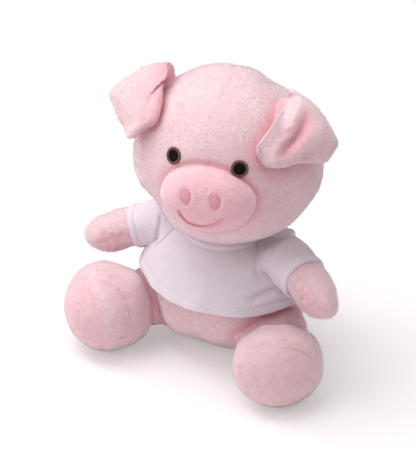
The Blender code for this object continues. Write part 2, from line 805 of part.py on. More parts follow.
def ear_layer(side, face):
    """One of the ear's two fabric layers: face is 1 for the outer and -1 for the lining."""
    rings = []
    angles = [2 * math.pi * k / EAR_SEGMENTS for k in range(EAR_SEGMENTS)]
    centre, across, outward, ahead, half_width = ear_frame(side, 0)
    for step, share in EAR_BEAD_STEPS:
        start = centre + ahead * EAR_ROOT_RADIUS * step
        rings.append([start + across * half_width * math.cos(angle)
                      + outward * face * ear_level(EAR_ROOT_RADIUS * share, angle)
                      for angle in angles])
    for at in EAR_STOP_SHARES:
        thickness = EAR_LAYERS[face] * follow(EAR_LAYER_SHARES, at)[0]
        rings.append([ear_point(side, at, math.cos(angle))
                      + ear_normal(side, at, math.cos(angle)) * face
                      * ear_level(thickness, angle) for angle in angles])
    return solid_form(rings)


def ear_slot(side):
    """A trough in the head for the root of an ear, open to where the ear is lifted."""
    centre, across, outward, ahead, half_width = ear_frame(side, 0)
    lean = ahead * math.cos(EAR_SWING) - outward * math.sin(EAR_SWING)
    lean_in = -outward * math.cos(EAR_SWING) - ahead * math.sin(EAR_SWING)
    section = [ahead * EAR_SLOT_RISE + outward * (EAR_SLOT_HALF_WIDTH + EAR_SLOT_FLARE),
               outward * EAR_SLOT_HALF_WIDTH]
    for k in range(1, SLOT_ARC_STEPS):
        angle = math.pi * k / SLOT_ARC_STEPS
        section.append(outward * EAR_SLOT_HALF_WIDTH * math.cos(angle)
                       - ahead * EAR_SLOT_DEPTH * math.sin(angle))
    section += [lean_in * EAR_SLOT_HALF_WIDTH, lean_in * EAR_SLOT_HALF_WIDTH
                + lean * EAR_SLOT_RISE]
    rings = []
    for end in (-1, 1):
        place = centre + across * (half_width + EAR_SLOT_END) * end
        rings.append([place + point for point in section])
    return solid_form(rings)


SLOT_ARC_STEPS = 6


def shirt_point(angle, up_share, grow):
    """A point of the T-shirt at an angle round the body and a share of its own height."""
    front = max(-math.sin(angle), 0)
    low = (HEM_SIDE_HEIGHT - HEM_FRONT_DROP * front) / BODY_HEIGHT
    high = BODY_SHARES[-1][0]
    share = low + (high - low) * up_share
    centre, half_width, half_depth = body_oval(share, GAP + grow)
    ease = HEM_EASE * float(follow(HEM_EASE_SHARES, up_share)[0])
    fold = HEM_FOLD * (1 - up_share) ** 2 * (1 + math.cos(HEM_FOLDS * angle)) / 2
    return Vector((centre.x + (half_width + ease + fold) * math.cos(angle),
                   centre.y + (half_depth + ease + fold) * math.sin(angle), centre.z))


SHIRT_COLUMNS = 17
SHIRT_ROWS = 7


def shirt_panel(middle_angle):
    """The front or back panel, from one side seam to the other."""
    seam_gap = GAP / BODY_WIDTH
    spread = math.pi / 2 - seam_gap
    grids = []
    for grow in (CLOTH, 0):
        grid = []
        for row in range(SHIRT_ROWS):
            up_share = row / (SHIRT_ROWS - 1)
            angles = [middle_angle + spread * (2 * k / (SHIRT_COLUMNS - 1) - 1)
                      for k in range(SHIRT_COLUMNS)]
            grid.append([shirt_point(angle, up_share, grow) for angle in angles])
        grids.append(grid)
    return sheet_form(*grids)


def neck_band(angles, thickness):
    """A band that lies on the ball of the neck between two angles from straight up."""
    low = NECK_RADIUS + GAP
    steps = [angles[0] + (angles[1] - angles[0]) * k / BAND_STEPS for k in range(BAND_STEPS + 1)]
    outer = [neck_ring_points(angle, low + thickness) for angle in steps]
    inner = [neck_ring_points(angle, low) for angle in steps]
    return tube_form(outer, inner)


BAND_STEPS = 3
TAIL_STEPS = 13
TAIL_SEGMENTS = 8
TAIL_TIP_SHARE = 0.45
# How far back in the ball, and how wide it is there
TAIL_BALL_SHARES = ((0.9, 0.44), (0.5, 0.87), (0.0, 1.0))
TAIL_WIDENING_SHARE = 1 / 3


def tail_root():
    """Where the tail's ball sits, half sunk in the back of the body."""
    centre, _, half_depth = body_oval(TAIL_HEIGHT / BODY_HEIGHT, 0)
    return Vector((0, centre.y + half_depth, TAIL_HEIGHT))


def tail_form():
    """A short curly tail that starts in a ball on the body."""
    start = tail_root()
    points = [start - Y * TAIL_BALL_RADIUS * back for back, _ in TAIL_BALL_SHARES]
    radii = [TAIL_BALL_RADIUS * swell for _, swell in TAIL_BALL_SHARES]
    for k in range(1, TAIL_STEPS + 1):
        share = k / TAIL_STEPS
        angle = 2 * math.pi * TAIL_TURNS * share
        widening = min(share / TAIL_WIDENING_SHARE, 1) * TAIL_CURL_RADIUS
        points.append(start + Y * (TAIL_BALL_RADIUS + TAIL_CURL_PITCH * TAIL_TURNS * share)
                      + X * widening * math.sin(angle) + Z * widening * (1 - math.cos(angle)))
        radii.append(TAIL_RADIUS * (1 - (1 - TAIL_TIP_SHARE) * share))
    return tube_along(points, radii, TAIL_SEGMENTS)


def tail_socket():
    start = tail_root()
    radius = TAIL_BALL_RADIUS + GAP
    rings = []
    for k in range(1, SMALL_SEGMENTS // 2):
        angle = math.pi * k / (SMALL_SEGMENTS // 2)
        rings.append(ring(start - Y * radius * math.cos(angle), X, Z, radius * math.sin(angle),
                          radius * math.sin(angle), SMALL_SEGMENTS))
    return solid_form(rings, start - Y * radius, start + Y * radius)


def build_body(finish, rooms):
    rings = body_rings(0, BODY_LEVEL_SHARES, NECK_HOLE_RADIUS)
    inner = body_rings(-SKIN, CORE_LEVEL_SHARES, NECK_HOLE_RADIUS)
    bm = bmesh.new()
    outer_seat, outer_neck = add_loops(bm, rings)
    inner_seat, inner_neck = add_loops(bm, inner)
    add_cap(bm, outer_seat, middle(rings[0]))
    add_cap(bm, inner_seat, middle(inner[0]))
    join_rims(bm, outer_neck, inner_neck)
    face_out(bm)
    cut(add_object("body_skin", bm, finish["plush"]), rooms)

    core = body_rings(-SKIN - GAP, CORE_LEVEL_SHARES, NECK_HOLE_RADIUS)
    filling = solid_form(core)
    bag = filling.copy()
    for form, side in ((filling, -1), (bag, 1)):
        level = BEAN_BAG_HEIGHT - side * GAP / 2
        everything = form.verts[:] + form.edges[:] + form.faces[:]
        bmesh.ops.bisect_plane(form, geom=everything, plane_co=(0, 0, level),
                               plane_no=(0, 0, side), clear_outer=True)
        open_edges = [edge for edge in form.edges if edge.is_boundary]
        bmesh.ops.holes_fill(form, edges=open_edges)
        face_out(form)
    cut(add_object("body_filling", filling, finish["filling"]), rooms)
    cut(add_object("bean_bag", bag, finish["beans"]), rooms)


def build_shirt(finish, rooms):
    cut(add_object("shirt_front", shirt_panel(-math.pi / 2), finish["jersey"]), rooms)
    cut(add_object("shirt_back", shirt_panel(math.pi / 2), finish["jersey"]), rooms)
    add_object("shirt_collar", neck_band(COLLAR_ANGLES, COLLAR_THICKNESS), finish["jersey"])


def build_head(finish, joint, slots):
    outer = head_rings(0, HEAD_RING_COUNT, NECK_HOLE_RADIUS)
    inner = head_rings(-SKIN, HEAD_CORE_RING_COUNT, NECK_HOLE_RADIUS)
    skin = add_object("head_skin", cup_form(outer, inner, head_top(0), head_top(-SKIN)),
                      finish["plush"], joint)
    core = head_rings(-SKIN - GAP, HEAD_CORE_RING_COUNT, NECK_HOLE_RADIUS)
    seat_top = Vector((0, 0, NECK_PIVOT_HEIGHT + HEAD_SEAT_RADIUS + SKIN + GAP))
    filling = add_object("head_filling", solid_form(core, seat_top, head_top(-SKIN - GAP)),
                         finish["filling"], joint)
    cut(filling, slots)
    return skin


def build_snout(finish, joint):
    """The snout's cover and filling, cut to sit on the head, with its nostrils and smile."""
    grown = head_rings(GAP, HEAD_RING_COUNT, NECK_HOLE_RADIUS)
    head_room = add_cutter("head_room", solid_form(grown, None, head_top(GAP)))
    tree = snout_surface()
    pockets = []
    for name, side in SIDES.items():
        aside = NOSTRIL_SPACING / 2 * side + NOSTRIL_ASIDE
        place, normal = on_snout(tree, aside, NOSTRIL_RISE)
        pockets.append(add_cutter("nostril_pocket_" + name, oval_plate(
            place, normal, NOSTRIL_WIDTH / 2 + GAP, NOSTRIL_HEIGHT / 2 + GAP,
            -NOSTRIL_SINK, NOSTRIL_SINK)))
        low = -NOSTRIL_SINK + GAP
        plate = oval_plate(place, normal, NOSTRIL_WIDTH / 2, NOSTRIL_HEIGHT / 2,
                           low, low + THREAD_PILE / 2)
        add_object("nostril_" + name, plate, finish["thread_pink"], joint)
    cover = cup_form(snout_rings(0), snout_rings(-LINING), snout_tip(0), snout_tip(-LINING))
    cut(add_object("snout_cover", cover, finish["snout"], joint), [head_room] + pockets)
    inside = solid_form(snout_rings(-LINING - GAP), None, snout_tip(-LINING - GAP))
    cut(add_object("snout_filling", inside, finish["filling"], joint), [head_room])

    points = []
    for k in range(MOUTH_STEPS + 1):
        along = 2 * k / MOUTH_STEPS - 1
        rise = -MOUTH_DROP + MOUTH_SAG * (along ** 2 - 1)
        place, normal = on_snout(tree, MOUTH_ASIDE + MOUTH_WIDTH / 2 * along, rise)
        points.append(place + normal * (MOUTH_THREAD_RADIUS + GAP))
    radii = [MOUTH_THREAD_RADIUS] * len(points)
    add_object("mouth_thread", tube_along(points, radii, TAIL_SEGMENTS), finish["thread_pink"],
               joint)


MOUTH_STEPS = 14


def build_eyes(finish, joint):
    """Embroidered eyes, a brown ring round a black pupil, sunk in shallow pockets."""
    tree = head_surface()
    pockets = []
    for name, side in SIDES.items():
        azimuth = EYE_AZIMUTH * side + EYE_ASIDE
        ray = FACE @ Vector((math.sin(azimuth) * math.cos(EYE_LIFT),
                             -math.cos(azimuth) * math.cos(EYE_LIFT), math.sin(EYE_LIFT)))
        place, normal, _, _ = tree.ray_cast(HEAD_CENTRE, ray)
        if normal.dot(ray) < 0:
            normal = -normal
        low = -EYE_SINK + GAP
        pockets.append(add_cutter("eye_pocket_" + name, oval_plate(
            place, normal, EYE_DIAMETER / 2 + GAP, EYE_DIAMETER / 2 + GAP, -EYE_SINK,
            EYE_SINK)))
        iris = ring_plate(place, normal, EYE_DIAMETER / 2, PUPIL_DIAMETER / 2 + GAP, low,
                          low + THREAD_PILE)
        add_object("eye_ring_" + name, iris, finish["thread_brown"], joint)
        pupil = oval_plate(place, normal, PUPIL_DIAMETER / 2, PUPIL_DIAMETER / 2, low,
                           low + THREAD_PILE)
        add_object("eye_pupil_" + name, pupil, finish["thread_black"], joint)
    return pockets


def build_ear(name, side, finish):
    joint = add_joint("ear_joint_" + name, ear_frame(side, 0)[0])
    add_object("ear_back_" + name, ear_layer(side, 1), finish["plush"], joint)
    add_object("ear_lining_" + name, ear_layer(side, -1), finish["plush_deep"], joint)


def build_arm(name, side, finish):
    limb = arm_limb(side)
    joint = add_joint("arm_joint_" + name, limb["frame"][1])
    end = ARM_LENGTH * END_SHARE
    outer = limb_rings(limb, 0, ROOT_HOLE_SHARE, LIMB_STOP_SHARES, end)
    inner = limb_rings(limb, -SKIN, ROOT_HOLE_SHARE, CORE_STOP_SHARES, end - SKIN)
    tips = [limb_frame(limb, ARM_LENGTH - depth)[0] for depth in (0, SKIN)]
    add_object("arm_skin_" + name, cup_form(outer, inner, *tips), finish["plush"], joint)
    core = limb_rings(limb, -SKIN - GAP, ROOT_HOLE_SHARE, CORE_STOP_SHARES, end - SKIN - GAP)
    add_object("arm_filling_" + name, solid_form(
        core, None, limb_frame(limb, ARM_LENGTH - SKIN - GAP)[0]), finish["filling"], joint)

    walls = []
    for thickness in (CLOTH, 0):
        places = [-SLEEVE_TUCK] + [SLEEVE_LENGTH * share for share in SLEEVE_STOP_SHARES]
        walls.append([sleeve_ring(limb, along, thickness) for along in places])
    add_object("sleeve_" + name, tube_form(*walls), finish["jersey"], joint)


ROOT_HOLE_SHARE = 0.90


def build_leg(name, side, finish):
    """A leg's tube of plush, its sole, and its filling, level where the foot rests."""
    limb = leg_limb(side)
    joint = add_joint("leg_joint_" + name, limb["frame"][1])
    length = limb["length"]
    seam = length * SOLE_SEAM_SHARE
    end = length * END_SHARE
    outer = limb_rings(limb, 0, ROOT_HOLE_SHARE, LIMB_STOP_SHARES, seam - GAP / 2)
    inner = limb_rings(limb, -SKIN, ROOT_HOLE_SHARE, CORE_STOP_SHARES, seam - GAP / 2)
    add_object("leg_skin_" + name, level_off(tube_form(outer, inner)), finish["plush"], joint)

    sole = []
    for grow, last in ((0, end), (-SKIN, end - SKIN)):
        places = [seam + GAP / 2 + (last - seam - GAP / 2) * share for share in SOLE_STEP_SHARES]
        sole.append([limb_ring(limb, place, grow) for place in places])
    tips = [limb_frame(limb, length - depth)[0] for depth in (0, SKIN)]
    add_object("sole_" + name, level_off(cup_form(*sole, *tips)), finish["plush"], joint)

    core = limb_rings(limb, -SKIN - GAP, ROOT_HOLE_SHARE, CORE_STOP_SHARES, end - SKIN - GAP)
    add_object("leg_filling_" + name, solid_form(
        core, None, limb_frame(limb, length - SKIN - GAP)[0]), finish["filling"], joint)


SOLE_STEP_SHARES = (0.0, 0.25, 0.5, 0.72, 0.88, 1.0)


def limb_rooms():
    """Cutters for the hollows that the arms and legs swing in."""
    arms = [add_cutter("arm_room_" + name, arm_room(side)) for name, side in SIDES.items()]
    legs = [add_cutter("leg_room_" + name, leg_room(side)) for name, side in SIDES.items()]
    return arms, legs


def main():
    clear_scene()
    finish = {
        "plush": material("plush", PLUSH_COLOR, CLOTH_ROUGHNESS),
        "plush_deep": material("plush_deep", PLUSH_DEEP_COLOR, CLOTH_ROUGHNESS),
        "snout": material("snout", SNOUT_COLOR, CLOTH_ROUGHNESS),
        "thread_pink": material("thread_pink", THREAD_PINK_COLOR, THREAD_ROUGHNESS),
        "thread_brown": material("thread_brown", THREAD_BROWN_COLOR, THREAD_ROUGHNESS),
        "thread_black": material("thread_black", THREAD_BLACK_COLOR, THREAD_ROUGHNESS),
        "jersey": material("jersey", JERSEY_COLOR, CLOTH_ROUGHNESS),
        "filling": material("filling", FILLING_COLOR, CLOTH_ROUGHNESS),
        "beans": material("beans", BEAN_COLOR, CLOTH_ROUGHNESS),
    }
    arms, legs = limb_rooms()
    socket = add_cutter("tail_socket", tail_socket())
    build_body(finish, arms + legs + [socket])
    build_shirt(finish, arms + legs)

    turn = add_joint("neck_turn_joint", NECK_PIVOT)
    add_object("neck_ring", neck_band(NECK_RING_ANGLES, NECK_RING_THICKNESS),
               finish["thread_pink"], turn)
    nod = add_joint("head_nod_joint", NECK_PIVOT)
    slots = [add_cutter("ear_slot_" + name, ear_slot(side)) for name, side in SIDES.items()]
    head = build_head(finish, nod, slots)
    build_snout(finish, nod)
    cut(head, slots + build_eyes(finish, nod))

    for name, side in SIDES.items():
        build_ear(name, side, finish)
        build_arm(name, side, finish)
        build_leg(name, side, finish)
    tail = add_joint("tail_joint", tail_root())
    add_object("tail", tail_form(), finish["plush"], tail)


main()
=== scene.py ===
"""A seated plush pig in a short T-shirt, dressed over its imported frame. Metres, +Z up."""
import math

import bmesh
import bpy
import numpy as np
from mathutils import Matrix, Vector
from mathutils.bvhtree import BVHTree


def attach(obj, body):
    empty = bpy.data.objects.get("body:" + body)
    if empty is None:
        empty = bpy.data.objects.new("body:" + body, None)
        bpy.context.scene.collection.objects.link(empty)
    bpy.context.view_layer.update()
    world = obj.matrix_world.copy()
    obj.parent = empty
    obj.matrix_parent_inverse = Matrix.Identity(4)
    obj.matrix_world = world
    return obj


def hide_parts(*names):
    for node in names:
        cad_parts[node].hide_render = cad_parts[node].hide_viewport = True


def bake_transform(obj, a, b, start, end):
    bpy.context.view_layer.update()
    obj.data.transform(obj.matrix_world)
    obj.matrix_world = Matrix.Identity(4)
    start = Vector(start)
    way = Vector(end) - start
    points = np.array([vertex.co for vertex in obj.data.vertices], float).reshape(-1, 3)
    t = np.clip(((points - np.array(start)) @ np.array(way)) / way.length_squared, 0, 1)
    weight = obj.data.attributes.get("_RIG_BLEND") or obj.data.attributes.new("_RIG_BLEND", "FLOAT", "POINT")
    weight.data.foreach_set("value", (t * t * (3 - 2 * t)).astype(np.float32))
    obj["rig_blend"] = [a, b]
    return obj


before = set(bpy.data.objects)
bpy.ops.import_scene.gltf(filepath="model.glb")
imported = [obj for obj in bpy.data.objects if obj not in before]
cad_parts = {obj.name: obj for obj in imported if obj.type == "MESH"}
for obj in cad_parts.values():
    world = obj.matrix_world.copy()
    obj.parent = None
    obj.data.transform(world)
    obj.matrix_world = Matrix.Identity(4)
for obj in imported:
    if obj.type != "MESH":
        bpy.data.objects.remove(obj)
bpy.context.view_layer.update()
scene = bpy.context.scene

# The photograph's view
IMAGE_WIDTH, IMAGE_HEIGHT = 416, 453
VIEW_AZIMUTH, VIEW_ELEVATION = math.radians(32.0), math.radians(32.0)
VIEW_DISTANCE = 1.2
VIEW_TARGET = np.array((0, 0, 0.095))
FOCAL_PIXELS = 1836.0
MIDDLE_PIXEL = (225.0, 219.7)
SENSOR = 36.0

# Sizes shared with the frame
GAP = 0.0003
BODY_WIDTH, BODY_DEPTH, BODY_HEIGHT, SEAT_BACK = 0.110, 0.088, 0.100, 0.008
NECK_RADIUS, NECK_PIVOT_HEIGHT = 0.034, 0.066
HEAD_HALF = np.array((0.06075, 0.055, 0.057))
HEAD_BOTTOM, HEAD_ASIDE, CHEEK = 0.0893, 0.0025, 0.045
HEAD_CENTRE = np.array((HEAD_ASIDE, 0, HEAD_BOTTOM + HEAD_HALF[2]))
FACE_TURN, FACE_LIFT, FACE_TILT = math.radians(16.5), math.radians(6.0), math.radians(3.0)
TURNED = np.array(Matrix.Rotation(FACE_TURN, 3, "Z"))
FACE = np.array(Matrix.Rotation(FACE_TURN, 3, "Z") @ Matrix.Rotation(-FACE_LIFT, 3, "X")
                @ Matrix.Rotation(FACE_TILT, 3, "Y"))
HEAD_SEAT_RADIUS = 0.0372
SNOUT_WIDTH, SNOUT_HEIGHT, SNOUT_DEPTH = 0.060, 0.044, 0.036
SNOUT_FORWARD, SNOUT_DROP, SNOUT_ASIDE = 0.050, 0.0082, 0.0015
NOSTRIL_WIDTH, NOSTRIL_HEIGHT, NOSTRIL_SPACING = 0.0064, 0.0096, 0.019
NOSTRIL_RISE, NOSTRIL_ASIDE = 0.0052, -0.0008
EYE_RADIUS, PUPIL_RADIUS = 0.0055, 0.0039
EYE_AZIMUTH, EYE_ASIDE, EYE_LIFT = math.radians(23.0), math.radians(-1.5), math.radians(15.0)
ARM_ROOT_OUT, ARM_ROOT_BACK, ARM_ROOT_HEIGHT = 0.038, 0.001, 0.080
ARM_LENGTH, ARM_DIAMETER = 0.065, 0.0285
ARM_BEND_LENGTH, ARM_BEND = 0.014, math.radians(28.0)
ARM_DROPS = {1: math.radians(19.0), -1: math.radians(39.0)}
LEG_ROOT_OUT, LEG_ROOT_FORWARD = 0.031, 0.011
LEG_LENGTHS = {1: 0.0700, -1: 0.0785}
FOOT_WIDTH, FOOT_HEIGHT, REST_CUT = 0.058, 0.058, 0.0005
LEG_BEND_LENGTH = 0.022
LEG_BENDS = {1: math.radians(52.0), -1: math.radians(57.0)}
SOLE_SEAM = 0.80
HEM_SIDE_HEIGHT, HEM_FRONT_DROP, HEM_EASE, HEM_FOLD = 0.0555, 0.0035, 0.0042, 0.0012
SLEEVE_LENGTH = 0.030
TAIL_RADIUS, TAIL_CURL_RADIUS, TAIL_CURL_PITCH = 0.0034, 0.0062, 0.0085
TAIL_HEIGHT, TAIL_BALL_RADIUS, TAIL_TURNS = 0.036, 0.0045, 1.3
SIDES = {"left": 1, "right": -1}
X, Y, Z = np.eye(3)

BODY_ROWS = (
    (0.000, 0.34, 0.33, 1.00), (0.025, 0.45, 0.44, 1.00), (0.070, 0.59, 0.59, 0.95),
    (0.140, 0.76, 0.76, 0.80), (0.240, 0.90, 0.91, 0.65), (0.360, 0.98, 0.98, 0.55),
    (0.460, 1.00, 1.00, 0.50), (0.560, 0.97, 0.98, 0.42), (0.660, 0.90, 0.92, 0.32),
    (0.740, 0.81, 0.84, 0.20), (0.800, 0.70, 0.75, 0.10), (0.865, 0.50, 0.62, 0.00),
)
ARM_ROWS = (
    (0.00, 0.93), (0.30, 0.95), (0.46, 0.99), (0.60, 1.02), (1.00, 1.02),
)
HAND_START, HAND_POWER = 0.60, 2.15
FOOT_START, FOOT_POWER = 0.62, 2.20
ANKLES = {1: 0.365, -1: 0.325}
EAR_ROWS = {
    1: ((0.000, 0.494, 0.458, 0.663, 0.015, 0.264, -0.193),
        (0.143, 0.593, 0.336, 0.793, 0.091, 0.164, -0.158),
        (0.286, 0.708, 0.255, 0.819, 0.156, 0.073, -0.167),
        (0.429, 0.831, 0.236, 0.775, 0.230, 0.027, -0.175),
        (0.571, 0.889, 0.347, 0.695, 0.293, -0.029, -0.197),
        (0.714, 0.859, 0.494, 0.548, 0.320, -0.130, -0.136),
        (0.857, 0.790, 0.618, 0.414, 0.337, -0.218, -0.080),
        (1.000, 0.715, 0.722, 0.295, 0.280, -0.222, -0.032)),
    -1: ((0.000, 0.650, 0.218, 0.632, 0.000, 0.309, -0.112),
         (0.143, 0.782, 0.173, 0.719, 0.104, 0.236, -0.144),
         (0.286, 0.905, 0.136, 0.754, 0.181, 0.164, -0.158),
         (0.429, 0.988, 0.164, 0.746, 0.222, 0.118, -0.158),
         (0.571, 0.986, 0.267, 0.706, 0.248, 0.088, -0.176),
         (0.714, 0.929, 0.421, 0.607, 0.240, 0.030, -0.177),
         (0.857, 0.846, 0.567, 0.498, 0.217, -0.021, -0.161),
         (1.000, 0.752, 0.706, 0.368, 0.153, -0.045, -0.131)),
}
HEM_EASE_ROWS = ((0.00, 1.00), (0.35, 0.62), (0.70, 0.12), (1.00, 0.00))


# Numbers and surfaces
WAVES = 20


def follow(table, at):
    """Columns of a table at places, on a smooth curve through its rows."""
    rows = np.array(table, float)
    keys, values = rows[:, 0], rows[:, 1:]
    slopes = np.gradient(values, keys, axis=0)
    at = np.atleast_1d(np.asarray(at, float))
    i = np.clip(np.searchsorted(keys, at) - 1, 0, len(keys) - 2)
    width = (keys[i + 1] - keys[i])[:, None]
    s = ((at - keys[i]) / width[:, 0])[:, None]
    start = (2 * s ** 3 - 3 * s ** 2 + 1) * values[i]
    end = (3 * s ** 2 - 2 * s ** 3) * values[i + 1]
    bend = (s ** 3 - 2 * s ** 2 + s) * slopes[i] + (s ** 3 - s ** 2) * slopes[i + 1]
    return start + end + bend * width


def ramp(values, start, run):
    """0 before start and 1 after start + run; a run below 0 goes the other way."""
    return np.clip((values - start) / run, 0, 1)


def smooth(share):
    return share * share * (3 - 2 * share)


def unit(v):
    return v / np.maximum(np.linalg.norm(v, axis=-1, keepdims=True), 1e-12)


def field(points, wavelength, seed):
    """A smooth random height at each point, about -1 to 1, from waves of about one length."""
    dice = np.random.RandomState(seed)
    ways = unit(dice.normal(size=(WAVES, 3))) * (2 * math.pi / wavelength)
    ways *= dice.uniform(0.75, 1.3, size=(WAVES, 1))
    phases = dice.uniform(0, 2 * math.pi, WAVES)
    flat = points.reshape(-1, 3)
    heights = np.sin(flat @ ways.T + phases).sum(axis=1) / math.sqrt(WAVES)
    return heights.reshape(points.shape[:-1])


def normals_of(grid):
    """The way across the surface at each point of a grid of rings."""
    along = np.roll(grid, -1, axis=1) - np.roll(grid, 1, axis=1)
    return unit(np.cross(along, np.gradient(grid, axis=0)))


def outward_of(grid):
    """The way out from its rings' middles at each point of a grid of rings."""
    normals = normals_of(grid)
    middle = grid.mean(axis=1, keepdims=True)
    sign = np.sign(((grid - middle) * normals).sum(axis=-1, keepdims=True))
    return normals * np.where(sign == 0, 1, sign)


def around(count):
    return np.linspace(0, 2 * math.pi, count, endpoint=False)


def ring(centre, turns, across, over):
    """Points round a centre, at the ends of two radii and between them."""
    return np.array(centre) + np.outer(np.cos(turns), across) + np.outer(np.sin(turns), over)


def away_from(points, path):
    """Distance of each point from a path, and how far along the path it is, 0 to 1."""
    flat = points.reshape(-1, 3)
    best = np.full(len(flat), 1e9)
    place = np.zeros(len(flat))
    count = len(path) - 1
    for k in range(count):
        a, b = path[k], path[k + 1]
        way = b - a
        t = np.clip((flat - a) @ way / max(way @ way, 1e-12), 0, 1)
        distance = np.linalg.norm(flat - a - t[:, None] * way, axis=1)
        closer = distance < best
        best[closer] = distance[closer]
        place[closer] = (k + t[closer]) / count
    return best.reshape(points.shape[:-1]), place.reshape(points.shape[:-1])


def smooth_path(points, count):
    """Evenly numbered points on a smooth curve through a few."""
    points = np.array(points, float)
    rows = [(k / (len(points) - 1), *point) for k, point in enumerate(points)]
    return follow(rows, np.linspace(0, 1, count))


def crease(grid, normals, path, width, depth, fade=0.12):
    """Presses a soft groove into a surface along a path, or raises a ridge if depth is < 0."""
    distance, place = away_from(grid, path)
    ends = ramp(np.minimum(place, 1 - place), 0, fade)
    return grid - normals * (depth * np.exp(-(distance / width) ** 2) * ends)[..., None]


def groove_shade(points, creases):
    """How much painted shade each point has, as a richer pink: 1 in the middle of a groove."""
    tone = np.zeros(points.shape[:-1])
    for path, width, depth in creases:
        if len(path) > 3 and depth > 0:
            distance, place = away_from(points, path)
            ends = ramp(np.minimum(place, 1 - place), 0, 0.2)
            tone = np.maximum(tone, np.exp(-(distance / (width * 1.5)) ** 2) * ends
                              * min(depth / 0.0022, 1))
    return tone


# Meshes
SHARP = math.radians(60)


def ring_faces(rows, columns, looped=False):
    """Faces between rings of points, and back from the last ring to the first if looped."""
    faces = []
    for i in range(rows if looped else rows - 1):
        for j in range(columns):
            n = (j + 1) % columns
            above = (i + 1) % rows
            faces.append((i * columns + j, i * columns + n,
                          above * columns + n, above * columns + j))
    return faces


def add_mesh(name, points, faces, uvs=None):
    mesh = bpy.data.meshes.new(name)
    mesh.from_pydata(np.asarray(points).reshape(-1, 3).tolist(), [], faces)
    mesh.validate()
    piece = bpy.data.objects.new(name, mesh)
    scene.collection.objects.link(piece)
    bm = bmesh.new()
    bm.from_mesh(mesh)
    if uvs is not None:
        layer = bm.loops.layers.uv.new("cloth")
        bm.verts.ensure_lookup_table()
        for face in bm.faces:
            for loop in face.loops:
                loop[layer].uv = uvs[loop.vert.index]
    bmesh.ops.recalc_face_normals(bm, faces=bm.faces)
    if bm.calc_volume(signed=True) < 0:
        bmesh.ops.reverse_faces(bm, faces=bm.faces)
    bm.to_mesh(mesh)
    bm.free()
    mesh.shade_smooth()
    mesh.set_sharp_from_angle(angle=SHARP)
    return piece


def closed_form(name, grid, start=None, end=None):
    """A closed piece through rings of points, with a point in the middle of each end."""
    rows, columns = grid.shape[:2]
    first = grid[0].mean(axis=0) if start is None else start
    last = grid[-1].mean(axis=0) if end is None else end
    points = np.vstack([grid.reshape(-1, 3), first, last])
    faces = ring_faces(rows, columns)
    low, high = rows * columns, rows * columns + 1
    for j in range(columns):
        n = (j + 1) % columns
        faces.append((n, j, low))
        faces.append(((rows - 1) * columns + j, (rows - 1) * columns + n, high))
    return add_mesh(name, points, faces)


def looped_form(name, grid, uvs=None):
    """A closed piece through rings of points whose last ring joins the first."""
    return add_mesh(name, grid, ring_faces(*grid.shape[:2], True), uvs)


def walled_form(name, outer, inner):
    """A cloth tube between an outer and an inner surface, open at its ends."""
    return looped_form(name, np.concatenate([outer, inner[::-1]]), cloth_uvs(outer))


def set_painted_shade(piece, values):
    """Writes how much painted shade each point has, 0 to 1."""
    attributes = piece.data.attributes
    tone = attributes.get("tone") or attributes.new("tone", "FLOAT", "POINT")
    tone.data.foreach_set("value", values)


def shade_from_rings(piece, tone):
    """Gives the points of a closed form the painted shade of its rings."""
    values = np.zeros(len(piece.data.vertices))
    values[:tone.size] = tone.ravel()
    set_painted_shade(piece, values)


def painted_shade_of(piece):
    values = np.zeros(len(piece.data.vertices))
    if "tone" in piece.data.attributes:
        piece.data.attributes["tone"].data.foreach_get("value", values)
    return values


def paint_contact_shade(piece, others, reach=0.0055, most=0.95):
    """Paints shade on a plush piece, a richer pink where it comes close to another."""
    values = painted_shade_of(piece)
    for other in others:
        tree = tree_of(other)
        box = np.array(other.bound_box)
        low, high = box.min(axis=0) - reach, box.max(axis=0) + reach
        for k, vertex in enumerate(piece.data.vertices):
            place = vertex.co
            if all(low[c] < place[c] < high[c] for c in range(3)):
                gap = tree.find_nearest(place, reach)[3]
                if gap is not None:
                    values[k] = max(values[k], most * (1 - gap / reach))
    set_painted_shade(piece, values)


def tree_of(piece):
    bm = bmesh.new()
    bm.from_mesh(piece.data)
    tree = BVHTree.FromBMesh(bm)
    bm.free()
    return tree


def grid_tree(grid):
    return BVHTree.FromPolygons([Vector(p) for p in grid.reshape(-1, 3)],
                                ring_faces(*grid.shape[:2]))


# The photograph's pixels on a surface
BACK = np.array((math.sin(VIEW_AZIMUTH) * math.cos(VIEW_ELEVATION),
                 -math.cos(VIEW_AZIMUTH) * math.cos(VIEW_ELEVATION), math.sin(VIEW_ELEVATION)))
RIGHT = np.array((math.cos(VIEW_AZIMUTH), math.sin(VIEW_AZIMUTH), 0))
UP = np.cross(BACK, RIGHT)
EYE = VIEW_TARGET + BACK * VIEW_DISTANCE


def pixel_way(x, y):
    way = (-BACK + RIGHT * (x - MIDDLE_PIXEL[0]) / FOCAL_PIXELS
           - UP * (y - MIDDLE_PIXEL[1]) / FOCAL_PIXELS)
    return unit(way)


def spots(tree, pixels, count):
    """A path on a surface that the camera sees through a row of pixels."""
    found = []
    for x, y in smooth_path([(*p, 0) for p in pixels], count)[:, :2]:
        place, _, _, _ = tree.ray_cast(Vector(EYE), Vector(pixel_way(x, y)))
        if place is not None:
            found.append(np.array(place))
    return np.array(found)


